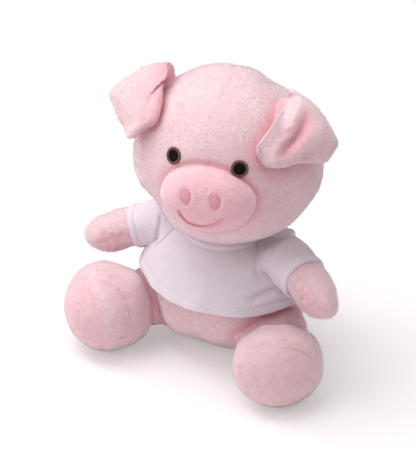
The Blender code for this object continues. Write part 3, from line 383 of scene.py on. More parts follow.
def pull(grid, moves, reach=14.0, share=1.0):
    """Moves a surface in the photograph's plane, so that some pixels of it go to others."""
    offset = grid - EYE
    depth = offset @ -BACK
    place = np.stack([MIDDLE_PIXEL[0] + FOCAL_PIXELS * (offset @ RIGHT) / depth,
                      MIDDLE_PIXEL[1] - FOCAL_PIXELS * (offset @ UP) / depth], axis=-1)
    start = np.array([move[0] for move in moves], float)
    shift = np.array([move[1] for move in moves], float) - start

    def near(points):
        gap = np.linalg.norm(points[..., None, :] - start, axis=-1)
        return np.exp(-(gap / reach) ** 2)

    weights = np.linalg.solve(near(start) + 0.02 * np.eye(len(start)), shift)
    moved = near(place) @ weights * (depth / FOCAL_PIXELS * share)[..., None]
    return grid + moved[..., :1] * RIGHT - moved[..., 1:] * UP


def face_point(side, forward, rise):
    return HEAD_CENTRE + FACE @ np.array((side, -forward, rise))


# Materials
def nodes_of(name):
    made = bpy.data.materials.new(name)
    made.use_nodes = True
    tree = made.node_tree
    return made, tree.nodes, tree.links, tree.nodes["Principled BSDF"]


def set_inputs(node, values):
    for socket, value in values.items():
        node.inputs[socket].default_value = value


def noise_node(nodes, links, coords, scale, detail=2.0, stretch=None, roughness=0.5):
    texture = nodes.new("ShaderNodeTexNoise")
    set_inputs(texture, {"Scale": scale, "Detail": detail, "Roughness": roughness})
    if stretch is not None:
        mapping = nodes.new("ShaderNodeMapping")
        mapping.inputs["Scale"].default_value = stretch
        links.new(coords, mapping.inputs["Vector"])
        coords = mapping.outputs["Vector"]
    links.new(coords, texture.inputs["Vector"])
    return texture.outputs["Fac"]


def wave_node(nodes, links, coords, direction, scale, distortion, detail):
    texture = nodes.new("ShaderNodeTexWave")
    texture.wave_type = "BANDS"
    texture.bands_direction = direction
    set_inputs(texture, {"Scale": scale, "Distortion": distortion, "Detail": detail})
    links.new(coords, texture.inputs["Vector"])
    return texture.outputs["Fac"]


def product(nodes, links, one, other):
    node = nodes.new("ShaderNodeMath")
    node.operation = "MULTIPLY"
    for socket, value in zip(node.inputs, (one, other)):
        if isinstance(value, float):
            socket.default_value = value
        else:
            links.new(value, socket)
    return node.outputs[0]


def mix_colors(nodes, links, fac, one, other):
    mix = nodes.new("ShaderNodeMix")
    mix.data_type = "RGBA"
    for socket, value in ((mix.inputs[6], one), (mix.inputs[7], other)):
        if isinstance(value, tuple):
            socket.default_value = (*value, 1)
        else:
            links.new(value, socket)
    links.new(fac, mix.inputs[0])
    return mix.outputs[2]


def spread(nodes, links, fac, low, high):
    """The same value with its range from low to high stretched to 0 to 1."""
    ranged = nodes.new("ShaderNodeMapRange")
    set_inputs(ranged, {"From Min": low, "From Max": high})
    links.new(fac, ranged.inputs["Value"])
    return ranged.outputs["Result"]


def bump_node(nodes, links, height, strength, distance, below=None):
    bump = nodes.new("ShaderNodeBump")
    set_inputs(bump, {"Strength": strength, "Distance": distance})
    links.new(height, bump.inputs["Height"])
    if below is not None:
        links.new(below, bump.inputs["Normal"])
    return bump.outputs["Normal"]


def plush(name, light, deep, nap=1.0, glow=0.12):
    """Short soft pile: fine streaks of nap, painted shade as a richer pink where its tone attribute is high,
    and a pale sheen.

    Light and deep are its two colours, nap is how strong its streaks are, and glow is how much
    light comes through it."""
    made, nodes, links, shader = nodes_of(name)
    coords = nodes.new("ShaderNodeTexCoord").outputs["Object"]
    patches = noise_node(nodes, links, coords, 28, 3)
    streaks = noise_node(nodes, links, coords, 300, 3, (1, 1, 3.0), 0.6)
    fibres = noise_node(nodes, links, coords, 950, 2)
    color = mix_colors(nodes, links, spread(nodes, links, patches, 0.32, 0.68), deep, light)
    for height, low, high, amount in ((streaks, 0.60, 0.38, 0.30), (fibres, 0.64, 0.36, 0.26)):
        part = product(nodes, links, spread(nodes, links, height, low, high), amount * nap)
        color = mix_colors(nodes, links, part, color,
                           (deep[0] * 0.86, deep[1] * 0.72, deep[2] * 0.74))
    # The tone attribute is painted shade: a richer pink in grooves, folds, beside the ears and where pieces
    # come close
    tone = nodes.new("ShaderNodeAttribute")
    tone.attribute_name = "tone"
    painted_shade_pink = (light[0] * 0.98, light[1] * 0.62, light[2] * 0.68)
    color = mix_colors(nodes, links, tone.outputs["Fac"], color, painted_shade_pink)
    links.new(color, shader.inputs["Base Color"])
    low = bump_node(nodes, links, streaks, 0.24 * nap, 0.0009)
    links.new(bump_node(nodes, links, fibres, 0.60 * nap, 0.0005, low),
              shader.inputs["Normal"])
    set_inputs(shader, {"Roughness": 0.95, "Specular IOR Level": 0.10, "Sheen Weight": 1.0,
                        "Sheen Roughness": 0.45, "Sheen Tint": (1.0, 0.95, 0.96, 1)})
    if glow:
        set_inputs(shader, {"Subsurface Weight": glow, "Subsurface Radius": (1.0, 0.5, 0.5),
                            "Subsurface Scale": 0.0035})
    return made


def knit(name, light, deep):
    """Fine jersey: columns of small loops, from the cloth's own coordinates in millimetres."""
    made, nodes, links, shader = nodes_of(name)
    coords = nodes.new("ShaderNodeTexCoord")
    wales = wave_node(nodes, links, coords.outputs["UV"], "X", 0.38, 0.6, 1.0)
    courses = wave_node(nodes, links, coords.outputs["UV"], "Y", 0.45, 0.5, 2.0)
    loops = product(nodes, links, wales, courses)
    soft = noise_node(nodes, links, coords.outputs["Object"], 120, 3)
    lint = noise_node(nodes, links, coords.outputs["Object"], 1100, 2)
    tone = mix_colors(nodes, links, spread(nodes, links, soft, 0.3, 0.7), deep, light)
    shade = tuple(c * 0.86 for c in deep)
    links.new(mix_colors(nodes, links, spread(nodes, links, loops, 0.35, -0.3), tone, shade),
              shader.inputs["Base Color"])
    low = bump_node(nodes, links, soft, 0.25, 0.0015)
    high = bump_node(nodes, links, loops, 0.35, 0.0004, low)
    links.new(bump_node(nodes, links, lint, 0.25, 0.0003, high), shader.inputs["Normal"])
    set_inputs(shader, {"Roughness": 0.9, "Specular IOR Level": 0.15, "Sheen Weight": 0.2,
                        "Sheen Roughness": 0.5})
    return made


def thread(name, light, deep, rough=0.45, sheen=0.15):
    """Satin embroidery thread: slightly glossy, streaked from strand to strand."""
    made, nodes, links, shader = nodes_of(name)
    coords = nodes.new("ShaderNodeTexCoord").outputs["Object"]
    strands = noise_node(nodes, links, coords, 1800, 2)
    links.new(mix_colors(nodes, links, spread(nodes, links, strands, 0.3, 0.7), deep, light),
              shader.inputs["Base Color"])
    links.new(bump_node(nodes, links, strands, 0.3, 0.0003), shader.inputs["Normal"])
    set_inputs(shader, {"Roughness": rough, "Specular IOR Level": 0.35 if sheen else 0.12,
                        "Sheen Weight": sheen})
    return made


# The work's colours: each material's light and deep one
PLUSH = plush("plush_pile", (0.825, 0.625, 0.655), (0.80, 0.575, 0.605))
# Painted shade: a deeper pink copy of the plush for the ear linings, standing in for the shade inside the
# ears
PLUSH_SHADED = plush("plush_pile_deep", (0.86, 0.55, 0.60), (0.83, 0.50, 0.55))
PLUSH_SNOUT = plush("plush_pile_snout", (0.88, 0.57, 0.62), (0.86, 0.53, 0.58), 1.1)
PILE = plush("plush_fibres", (0.85, 0.64, 0.67), (0.80, 0.58, 0.61), 1.3, 0)
PILE_SNOUT = plush("plush_fibres_snout", (0.87, 0.57, 0.62), (0.84, 0.52, 0.57), 1.3, 0)
JERSEY = knit("jersey_knit", (0.83, 0.74, 0.81), (0.80, 0.71, 0.78))
JERSEY_THREAD = thread("jersey_thread", (0.95, 0.90, 0.94), (0.86, 0.80, 0.85), 0.6)
THREAD_PINK = thread("thread_pink_satin", (0.80, 0.38, 0.45), (0.70, 0.29, 0.36))
THREAD_DEEP = thread("thread_deep_pink_satin", (0.76, 0.33, 0.40), (0.64, 0.25, 0.32))
THREAD_ROSE = thread("thread_rose_satin", (0.84, 0.42, 0.48), (0.68, 0.30, 0.36))
THREAD_BROWN = thread("thread_brown_satin", (0.19, 0.085, 0.07), (0.07, 0.025, 0.02))
THREAD_BLACK = thread("thread_black_satin", (0.010, 0.006, 0.005), (0.004, 0.002, 0.002), 0.7, 0)
# Painted light: the tufts are paler than the plush, to offset the shade they cast on one another
LIT_TUFTS = plush("plush_tufts", (0.95, 0.78, 0.80), (0.88, 0.68, 0.71), 0.8, 0)
FIBRE = plush("filling_fibre", (0.90, 0.90, 0.88), (0.80, 0.80, 0.78), 1.0, 0)
BEAN_CLOTH = plush("bean_bag_cloth", (0.72, 0.70, 0.64), (0.60, 0.58, 0.52), 1.0, 0)


def dress(piece, finish, body=None, node=None):
    """Gives a piece its material and slot, its body and the nodes it stands for."""
    piece.data.materials.clear()
    piece.data.materials.append(finish)
    if body is not None:
        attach(piece, body)
    if node is not None:
        nodes = (node,) if isinstance(node, str) else node
        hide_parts(*nodes)
    return piece


# Fibres a square metre, their length and half width, and the height that none goes below
PILE_COUNT, PILE_LENGTH, PILE_WIDTH, PILE_FLOOR = 900000, 0.0013, 0.00009, 0.0006
PILE_ROOT = 0.0002
FIBRE_FACES = ((0, 2, 1), (0, 1, 3), (1, 2, 3), (2, 0, 3))


def scatter(piece, per_area, seed):
    """Random spots on a piece: their generator, places, ways out and triangles' corners."""
    mesh = piece.data
    mesh.calc_loop_triangles()
    corners = np.zeros(len(mesh.loop_triangles) * 3, int)
    mesh.loop_triangles.foreach_get("vertices", corners)
    corners = corners.reshape(-1, 3)
    points = np.zeros(len(mesh.vertices) * 3)
    mesh.vertices.foreach_get("co", points)
    triangles = points.reshape(-1, 3)[corners]
    crossed = np.cross(triangles[:, 1] - triangles[:, 0], triangles[:, 2] - triangles[:, 0])
    areas = np.linalg.norm(crossed, axis=1) / 2
    dice = np.random.RandomState(seed)
    count = int(areas.sum() * per_area)
    chosen = np.searchsorted(np.cumsum(areas) / areas.sum(), dice.uniform(size=count))
    chosen = np.clip(chosen, 0, len(areas) - 1)
    a, b = dice.uniform(size=(2, count, 1))
    over = (a + b) > 1
    a, b = np.where(over, 1 - a, a), np.where(over, 1 - b, b)
    t = triangles[chosen]
    roots = t[:, 0] + a * (t[:, 1] - t[:, 0]) + b * (t[:, 2] - t[:, 0])
    return dice, roots, unit(crossed[chosen]), corners[chosen]


def pile(name, piece, per_area, length, seed, body=None, slot="plush", finish=None, blend=None,
         keep=None, width=PILE_WIDTH, lean=0.75, comb=None):
    """Fine pointed fibres on a plush piece, combed down, or away from a path if comb is given.

    Keep takes roots and ways out, and says which fibres stay."""
    dice, roots, out, corners = scatter(piece, per_area, seed)
    flow = np.stack([field(roots, 0.045, seed + k) for k in (1, 2, 3)], axis=-1)
    flow = flow + np.array((0, 0, -0.7)) + dice.normal(size=roots.shape) * 0.6
    if comb is not None:
        nearest = np.linalg.norm(roots[:, None] - comb, axis=2).argmin(axis=1)
        flow = 0.3 * flow + 1.6 * unit(roots - comb[nearest])
    way = unit(out + lean * (flow - out * (flow * out).sum(axis=1, keepdims=True)))
    reach = length * dice.uniform(0.55, 1.15, size=(len(roots), 1))
    stay = roots[:, 2] + way[:, 2] * reach[:, 0] > PILE_FLOOR
    if keep is not None:
        stay &= keep(roots, out)
    roots, out, way, reach, corners = (rows[stay] for rows in (roots, out, way, reach, corners))
    side = unit(np.cross(way, dice.normal(size=roots.shape)))
    other = np.cross(way, side)
    base = roots - out * PILE_ROOT
    parts = [base + side * width, base - side * width * 0.5 + other * width * 0.87,
             base - side * width * 0.5 - other * width * 0.87, roots + way * reach]
    points = np.stack(parts, axis=1).reshape(-1, 3)
    start = np.arange(len(roots)) * 4
    faces = np.stack([np.stack([start + i for i in corner], axis=-1)
                      for corner in FIBRE_FACES], axis=1)
    made = bpy.data.meshes.new(name)
    made.vertices.add(len(points))
    made.vertices.foreach_set("co", points.ravel())
    made.loops.add(faces.size)
    made.loops.foreach_set("vertex_index", faces.ravel())
    made.polygons.add(faces.size // 3)
    made.polygons.foreach_set("loop_start", np.arange(0, faces.size, 3))
    made.update(calc_edges=True)
    made.shade_smooth()
    fuzz = bpy.data.objects.new(name, made)
    scene.collection.objects.link(fuzz)
    # The fibres take the painted shade of the piece under them
    set_painted_shade(fuzz, np.repeat(painted_shade_of(piece)[corners].mean(axis=1), 4))
    dress(fuzz, finish or PILE, body)
    if blend is not None:
        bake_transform(fuzz, *blend)


PILES = []


def plan_pile(*settings, **more):
    """Puts a pile off until the painted shade of all pieces is known."""
    PILES.append((settings, more))


# Body
def body_grid(shares, turns):
    width, depth, back = follow(BODY_ROWS, shares).T
    return np.array([ring((0, SEAT_BACK * back[k], share * BODY_HEIGHT), turns,
                          X * (BODY_WIDTH / 2 * width[k]), Y * (BODY_DEPTH / 2 * depth[k]))
                     for k, share in enumerate(shares)])


# Wavelength and height of each size of lump
LUMPS = ((0.034, 0.00030), (0.012, 0.00008), (0.0045, 0.00003))


def nap(grid, normals, seed, amount=1.0):
    """Small lumps of stuffing and crushed pile on a plush surface."""
    height = sum(size * field(grid, wave, seed + k) for k, (wave, size) in enumerate(LUMPS))
    return grid + normals * (height * amount)[..., None]


BODY_PULLS = [((174, 322), (170, 327)), ((215, 342), (215, 341))]
BODY_TOP = 0.86
BODY_SEAM = (0.0016, 0.0011)
# The lowest that a piece on the floor goes, and the height above which the shirt hides the body
LEAST_HEIGHT, HIDDEN_HEIGHT = 0.00002, 0.056


def make_body():
    shares = np.concatenate([np.linspace(0, 0.08, 12)[:-1], np.linspace(0.08, BODY_TOP, 70)])
    grid = pull(body_grid(shares, around(200)), BODY_PULLS, 20)
    normals = normals_of(grid)
    for turn in (-math.pi / 2, math.pi / 2):
        seam = body_grid(np.linspace(0.02, BODY_TOP, 60), np.array([turn]))[:, 0]
        grid = crease(grid, normals, seam, *BODY_SEAM)
    lumpy = nap(grid, normals, 3)
    calm = ramp(shares, 0, 0.07)[:, None, None]
    grid = grid + (lumpy - grid) * calm
    grid[..., 2] = np.maximum(grid[..., 2], LEAST_HEIGHT)
    piece = closed_form("body_plush", grid)
    plan_pile("body_pile", piece, PILE_COUNT, PILE_LENGTH, 101, "torso",
              keep=lambda roots, out: roots[:, 2] < HIDDEN_HEIGHT)
    return dress(piece, PLUSH, "torso", "body_skin")


# Head
def head_grid(angles, turns):
    height = HEAD_CENTRE[2] - HEAD_HALF[2] * np.cos(angles)
    rise = (height - HEAD_BOTTOM) / HEAD_HALF[2]
    aside = HEAD_ASIDE * ramp(rise, 0, 0.35)
    full = np.sin(angles) * (1 + CHEEK * np.maximum(np.sin(2 * angles), 0))
    flat = (HEAD_HALF[1] - HEAD_HALF[0]) * np.clip(rise, 0, 1)
    return np.array([ring((aside[k], 0, height[k]), turns, TURNED @ X * (HEAD_HALF[0] * full[k]),
                          TURNED @ Y * ((HEAD_HALF[0] + flat[k]) * full[k]))
                     for k in range(len(angles))])


HEAD_PULLS = [((146, 200), (153, 197)), ((158, 214), (164, 210)), ((136, 175), (137, 174)),
              ((274, 77), (271, 82)), ((249, 65), (250, 66.5)), ((291, 91), (288, 95)),
              ((311, 207), (311, 204)), ((296, 222), (298, 219)), ((279, 232), (283, 230))]

# Pixels along each seam of the head, points in its path, its width and its depth
HEAD_SEAMS = (
    ([(246, 64), (232, 78), (222, 96), (216, 118)], 24, 0.0012, 0.0003),
    ([(250, 184), (256, 192), (259, 203)], 16, 0.0011, 0.0005),
    ([(258, 207), (263, 206), (268, 209)], 10, 0.0009, 0.0003),
)
# The width and depth of the seam round the snout, and of the one down the back of the head
SNOUT_SEAM, REAR_SEAM = (0.0015, 0.0010), (0.0015, 0.0009)
HEAD_PILE_BOTTOM = 0.097
# Pixels along each painted shade beside the ears, its width, and its strength as a depth
HEAD_SHADES = (
    ([(172, 72), (168, 84), (164, 96), (161, 108), (158, 119), (149, 129), (136, 138)],
     0.0030, 0.0024),
    ([(284, 92), (277, 106), (268, 122), (259, 138), (254, 152), (260, 167), (276, 173),
      (300, 170), (328, 166)], 0.0036, 0.0011),
)


def make_head():
    turns = around(260)
    probe = np.linspace(0.05, 1.2, 400)
    low = head_grid(probe, np.array([0.0]))[:, 0]
    reach = np.hypot(np.hypot(low[:, 0], low[:, 1]), low[:, 2] - NECK_PIVOT_HEIGHT)
    edge = probe[np.argmax(reach > HEAD_SEAT_RADIUS)]
    angles = np.concatenate([np.linspace(edge, edge + 0.15, 10)[:-1],
                             np.linspace(edge + 0.15, math.radians(178.5), 170)])
    grid = pull(head_grid(angles, turns), HEAD_PULLS, 16)
    normals = normals_of(grid)
    tree = grid_tree(grid)
    rim = np.linspace(math.radians(8), math.radians(172), 60)
    junction = snout_grid(np.array([math.radians(-3)]), rim, 0.0006)[0]
    junction = np.array([np.array(tree.find_nearest(Vector(p))[0]) for p in junction])
    seams = [(junction, *SNOUT_SEAM)]
    seams += [(spots(tree, pixels, count), width, depth)
              for pixels, count, width, depth in HEAD_SEAMS]
    # Painted shade: a richer pink along the head's seams and beside the ears
    shades = [(spots(tree, pixels, 24), width, depth) for pixels, width, depth in HEAD_SHADES]
    tone = groove_shade(grid, seams + shades)
    for path, width, depth in seams:
        grid = crease(grid, normals, path, width, depth, 0.25)
    rear = head_grid(np.linspace(0.7, 3.0, 60), np.array([math.pi / 2]))[:, 0]
    grid = crease(grid, normals, rear, *REAR_SEAM)
    grid = nap(grid, normals, 11)
    edge_radius = np.hypot(grid[0, :, 0], grid[0, :, 1]).mean()
    seat = []
    for radius in edge_radius * np.array((0.2, 0.45, 0.7, 0.9)):
        height = NECK_PIVOT_HEIGHT + math.sqrt(HEAD_SEAT_RADIUS ** 2 - radius ** 2)
        seat.append(ring((0, 0, height), turns, TURNED @ X * radius, TURNED @ Y * radius))
    grid = np.concatenate([np.array(seat), grid])
    tone = np.concatenate([np.zeros((len(seat), len(turns))), tone])
    top = np.array((HEAD_ASIDE, 0, HEAD_CENTRE[2] + HEAD_HALF[2]))
    piece = closed_form("head_plush", grid, None, top)
    shade_from_rings(piece, tone)
    snout_middle = face_point(SNOUT_ASIDE, SNOUT_FORWARD, -SNOUT_DROP)
    eyes = [eye_spot(side)[0] for side in SIDES.values()]

    def uncovered(roots, out):
        offset = (roots - snout_middle) @ FACE
        clear = (offset[:, 0] / 0.030) ** 2 + (offset[:, 2] / 0.022) ** 2 > 1
        clear |= offset[:, 1] > 0.01
        for eye in eyes:
            clear &= np.linalg.norm(roots - eye, axis=1) > EYE_RADIUS + 0.0003
        return clear & (roots[:, 2] > HEAD_PILE_BOTTOM)

    plan_pile("head_pile", piece, PILE_COUNT, PILE_LENGTH, 111, "head", keep=uncovered)
    return dress(piece, PLUSH, "head", ("head_skin", "head_filling"))


# Snout, nostrils, smile and eyes
SNOUT_POWER = 0.86
SNOUT_ANGLES = (-40, 88.5)
SMILE_PIXELS = [(177.5, 210), (181, 216), (188, 222.5), (198, 226), (208, 226.5), (216, 224),
                (222.5, 219)]
# Widths of the smile's dent and of its pile-free strip, and the stitched smile's radius
SMILE_DENT, SMILE_CLEAR, SMILE_RADIUS = 0.0022, 0.0014, 0.0010


def snout_grid(angles, turns, grow=0.0):
    rows = []
    for angle in angles:
        forward = SNOUT_FORWARD + (SNOUT_DEPTH / 2 + grow) * math.sin(angle)
        full = math.cos(angle) ** SNOUT_POWER
        rows.append(ring(face_point(SNOUT_ASIDE, forward, -SNOUT_DROP), turns,
                         FACE @ X * ((SNOUT_WIDTH / 2 + grow) * full),
                         FACE @ Z * ((SNOUT_HEIGHT / 2 + grow) * full)))
    return np.array(rows)


def make_snout():
    turns = around(200)
    grid = snout_grid(np.radians(np.linspace(*SNOUT_ANGLES, 80)), turns)
    normals = normals_of(grid)
    outward = unit(grid - face_point(SNOUT_ASIDE, SNOUT_FORWARD - 0.02, -SNOUT_DROP))
    normals = normals * np.sign((normals * outward).sum(axis=-1, keepdims=True))
    tree = grid_tree(grid)
    for side in SIDES.values():
        place = on_snout(tree, NOSTRIL_SPACING / 2 * side + NOSTRIL_ASIDE, NOSTRIL_RISE)[0]
        offset = (grid - np.array(place)) @ FACE
        reach = np.sqrt((offset[..., 0] / (NOSTRIL_WIDTH * 0.60)) ** 2
                        + (offset[..., 2] / (NOSTRIL_HEIGHT * 0.58)) ** 2)
        grid = grid - normals * (0.0010 * np.exp(-reach ** 4)
                                 - 0.00015 * np.exp(-((reach - 1.4) / 0.22) ** 2))[..., None]
    smile = spots(tree, SMILE_PIXELS, 40)
    # Painted shade: a richer pink along the smile's dent
    tone = groove_shade(grid, [(smile, 0.0010, 0.0010)])
    grid = crease(grid, normals, smile, SMILE_DENT, 0.0005, 0.1)
    grid = nap(grid, normals, 21, 0.8)
    tip = face_point(SNOUT_ASIDE, SNOUT_FORWARD + SNOUT_DEPTH / 2, -SNOUT_DROP)
    piece = closed_form("snout_plush", grid, None, tip)
    shade_from_rings(piece, tone)

    def clear(roots, out):
        offset = (roots - face_point(SNOUT_ASIDE, SNOUT_FORWARD, -SNOUT_DROP)) @ FACE
        far = away_from(roots, smile)[0] > SMILE_CLEAR
        for side in SIDES.values():
            x = offset[:, 0] - NOSTRIL_SPACING / 2 * side - NOSTRIL_ASIDE
            z = offset[:, 2] - NOSTRIL_RISE
            far &= (x / NOSTRIL_WIDTH) ** 2 + (z / NOSTRIL_HEIGHT) ** 2 > 0.28
        return far

    plan_pile("snout_pile", piece, PILE_COUNT, PILE_LENGTH * 0.7, 121, "head", "snout",
              PILE_SNOUT, keep=clear)
    return dress(piece, PLUSH_SNOUT, "head", "snout_cover")


def on_snout(tree, side, rise):
    """The point of the snout at a place on its front, and the way out there."""
    start = face_point(SNOUT_ASIDE + side, SNOUT_FORWARD + SNOUT_DEPTH, rise - SNOUT_DROP)
    place, normal, _, _ = tree.ray_cast(Vector(start), Vector(FACE @ Y))
    normal = np.array(normal)
    return np.array(place), normal * (1 if normal @ (FACE @ -Y) > 0 else -1)


def frame_at(normal, upward):
    """Two ways along a surface: across, and as far upward as it allows."""
    across = unit(np.cross(upward, normal))
    return across, np.cross(normal, across)


def satin_oval(name, place, normal, half_width, half_height, strands, slant, low, high):
    """An oval of parallel embroidery strands, crowned in its middle."""
    across, up = frame_at(normal, FACE @ Z)
    turn = np.array((math.cos(slant), math.sin(slant)))
    radii = np.concatenate([np.linspace(0.02, 0.9, 22), (0.95, 0.985, 1.0, 1.0)])
    turns = around(120)
    rows = []
    for k, r in enumerate(radii):
        u, v = r * np.cos(turns) * half_width, r * np.sin(turns) * half_height
        over = (u * -turn[1] + v * turn[0]) / half_height
        ridge = 0.00016 * np.abs(np.sin(over * strands * math.pi / 2))
        crown = (high - low) * math.sqrt(max(1 - r ** 4, 0))
        level = low + (crown + ridge if k < len(radii) - 1 else 0)
        rows.append(place + np.outer(u, across) + np.outer(v, up)
                    + np.outer(np.broadcast_to(level, u.shape), normal))
    return closed_form(name, np.array(rows))


def satin_ring(name, place, normal, outer, inner, strands, low, high):
    """A ring of embroidery strands that run from its inner to its outer edge."""
    across, up = frame_at(normal, FACE @ Z)
    turns = around(strands * 4)
    section = around(14)
    middle, half = (outer + inner) / 2, (outer - inner) / 2
    jitter = field(np.stack([np.cos(turns), np.sin(turns), turns * 0], axis=-1), 0.35, 5) * 0.00012
    rows = []
    for angle in section:
        radius = middle + half * math.cos(angle) + (jitter if math.cos(angle) > 0.5 else 0)
        ridge = 0.00014 * np.abs(np.sin(turns * strands / 2)) if math.sin(angle) > 0.1 else 0
        level = low + (high - low) * max(math.sin(angle), 0) ** 0.7 + ridge - (
            0.0004 if math.sin(angle) < -0.1 else 0)
        rows.append(place + np.outer(radius * np.cos(turns), across)
                    + np.outer(radius * np.sin(turns), up)
                    + np.outer(np.broadcast_to(level, turns.shape), normal))
    return looped_form(name, np.array(rows))


def tube(name, path, radii, segments=14, flatten=1.0, up=None):
    """A round tube along a path, with its ends drawn to points."""
    ahead = unit(np.gradient(path, axis=0))
    turns = around(segments)
    rows = []
    across = None
    for k in range(len(path)):
        if up is not None:
            across = unit(np.cross(up[k], ahead[k]))
        elif across is None:
            across = unit(np.cross(ahead[k], Z + 0.1 * X))
        else:
            across = unit(across - ahead[k] * (across @ ahead[k]))
        over = np.cross(ahead[k], across)
        rows.append(ring(path[k], turns, across * radii[k], over * (flatten * radii[k])))
    return closed_form(name, np.array(rows), path[0], path[-1])


def eye_spot(side):
    """Where an eye sits on the head, and the way out there."""
    azimuth = EYE_AZIMUTH * side + EYE_ASIDE
    ray = FACE @ np.array((math.sin(azimuth) * math.cos(EYE_LIFT),
                           -math.cos(azimuth) * math.cos(EYE_LIFT), math.sin(EYE_LIFT)))
    plain = grid_tree(head_grid(np.radians(np.linspace(60, 160, 60)), around(90)))
    spot = np.array(plain.ray_cast(Vector(HEAD_CENTRE + ray * 0.1), Vector(-ray))[0])
    return spot, unit((spot - HEAD_CENTRE) / HEAD_HALF ** 2)


def make_face_details(snout):
    snout_tree = tree_of(snout)
    plain_tree = grid_tree(snout_grid(np.radians(np.linspace(*SNOUT_ANGLES, 60)), around(120)))
    for name, side in SIDES.items():
        aside = NOSTRIL_SPACING / 2 * side + NOSTRIL_ASIDE
        place, _ = on_snout(snout_tree, aside, NOSTRIL_RISE)
        normal = on_snout(plain_tree, aside, NOSTRIL_RISE)[1]
        piece = satin_oval("nostril_satin_" + name, place, normal, NOSTRIL_WIDTH * 0.48,
                           NOSTRIL_HEIGHT * 0.46, 22, 0.25 * side, -0.0004, 0.0008)
        dress(piece, THREAD_ROSE, "head", "nostril_" + name)
        across, up = frame_at(normal, FACE @ Z)
        turns = np.linspace(0, 2 * math.pi, 97)
        rim = (place + np.outer(np.cos(turns) * NOSTRIL_WIDTH * 0.46, across)
               + np.outer(np.sin(turns) * NOSTRIL_HEIGHT * 0.44, up) + normal * 0.0002)
        outline = tube("nostril_outline_" + name, rim,
                       0.00055 * (0.9 + 0.15 * np.sin(turns * 40) ** 2), 10, 0.8,
                       np.broadcast_to(normal, rim.shape))
        dress(outline, THREAD_DEEP, "head")

        spot, out = eye_spot(side)
        iris = satin_ring("eye_iris_" + name, spot, out, EYE_RADIUS, PUPIL_RADIUS - 0.0003, 72,
                          -0.0002, 0.0009)
        dress(iris, THREAD_BROWN, "head", "eye_ring_" + name)
        pupil = satin_oval("eye_satin_" + name, spot, out, PUPIL_RADIUS, PUPIL_RADIUS * 1.04, 22,
                           math.pi / 2, -0.0003, 0.0009)
        dress(pupil, THREAD_BLACK, "head", "eye_pupil_" + name)
    path = spots(snout_tree, SMILE_PIXELS, 150)
    up = np.array([on_snout(plain_tree, *(((p - face_point(SNOUT_ASIDE, 0, -SNOUT_DROP)) @ FACE)
                                          [[0, 2]]))[1] for p in path])
    path = path + up * 0.0005
    count = np.arange(len(path))
    radii = SMILE_RADIUS * (0.90 + 0.16 * np.abs(np.sin(count * math.pi / 4)))
    radii *= np.clip(np.minimum(count, len(path) - 1 - count) / 6 + 0.4, 0, 1)
    smile = tube("smile_satin", path, radii, 14, 0.75, up)
    dress(smile, THREAD_PINK, "head", "mouth_thread")


# Ears
EAR_TIP_START, EAR_TIP_POWER = 0.86, 2.4


def ear_frames(side, at):
    """An ear's middle line, its way to the edge and its half width, at shares of its length."""
    rows = follow(EAR_ROWS[side], at)
    centre = np.array([face_point(HEAD_HALF[0] * r[0] * side, HEAD_HALF[1] * r[1],
                                  HEAD_HALF[2] * r[2]) for r in rows])
    edge = np.array([FACE @ np.array((HEAD_HALF[0] * r[3] * side, -HEAD_HALF[1] * r[4],
                                      HEAD_HALF[2] * r[5])) for r in rows])
    width = np.linalg.norm(edge, axis=1)
    return centre, unit(edge), width


def ear_grid(side, at, turns, face, thickness):
    """One layer of an ear: face is 1 for the outer layer and -1 for the lining."""
    centre, across, width = ear_frames(side, at)
    ahead = np.gradient(centre, at, axis=0)
    ahead = unit(ahead - across * (ahead * across).sum(axis=1, keepdims=True))
    outward = unit(np.cross(ahead, across)) * side
    tip = ramp(at, EAR_TIP_START, 1 - EAR_TIP_START)
    width = width * np.sqrt(np.clip(1 - tip ** EAR_TIP_POWER * 0.97, 0.0, 1))
    place = np.cos(turns)
    arch = 0.0022 * ramp(at, 0, 0.3)
    mid = (centre[:, None] + across[:, None] * (width[:, None] * place)[..., None]
           + outward[:, None] * (arch[:, None] * (1 - place ** 2))[..., None])
    along = np.gradient(mid, at, axis=0)
    normal = unit(np.cross(along, np.broadcast_to(across[:, None], along.shape))) * side
    round_end = np.clip(1 - tip ** 3, 0.05, 1) ** 0.5
    level = 0.0002 + np.maximum(np.sin(turns), 0) ** 0.8 * thickness * round_end[:, None]
    return mid + normal * (face * level)[..., None], normal


# Pixels along each fold of an ear's flap, its width, and its depth, less than 0 for a ridge
EAR_CREASES = {
    1: (([(310, 107), (306, 121), (300, 134), (293, 143), (286, 151), (279, 160)], 0.0027, 0.0034),
        ([(288, 97), (282, 112), (274, 127), (269, 142), (269, 158)], 0.0060, -0.0028),
        ([(295, 129), (287, 133), (279, 138)], 0.0018, 0.0010),
        ([(301, 162), (307, 158), (312, 155)], 0.0020, 0.0010),
        ([(322, 118), (318, 134), (306, 149)], 0.0070, -0.0014)),
    -1: (([(152, 82), (150, 96), (146, 112), (142, 124)], 0.0036, 0.0008),
         ([(166, 74), (162, 86), (159, 100), (155, 114)], 0.0024, -0.0014),
         ([(120, 92), (128, 106), (132, 122)], 0.0052, -0.0010)),
}
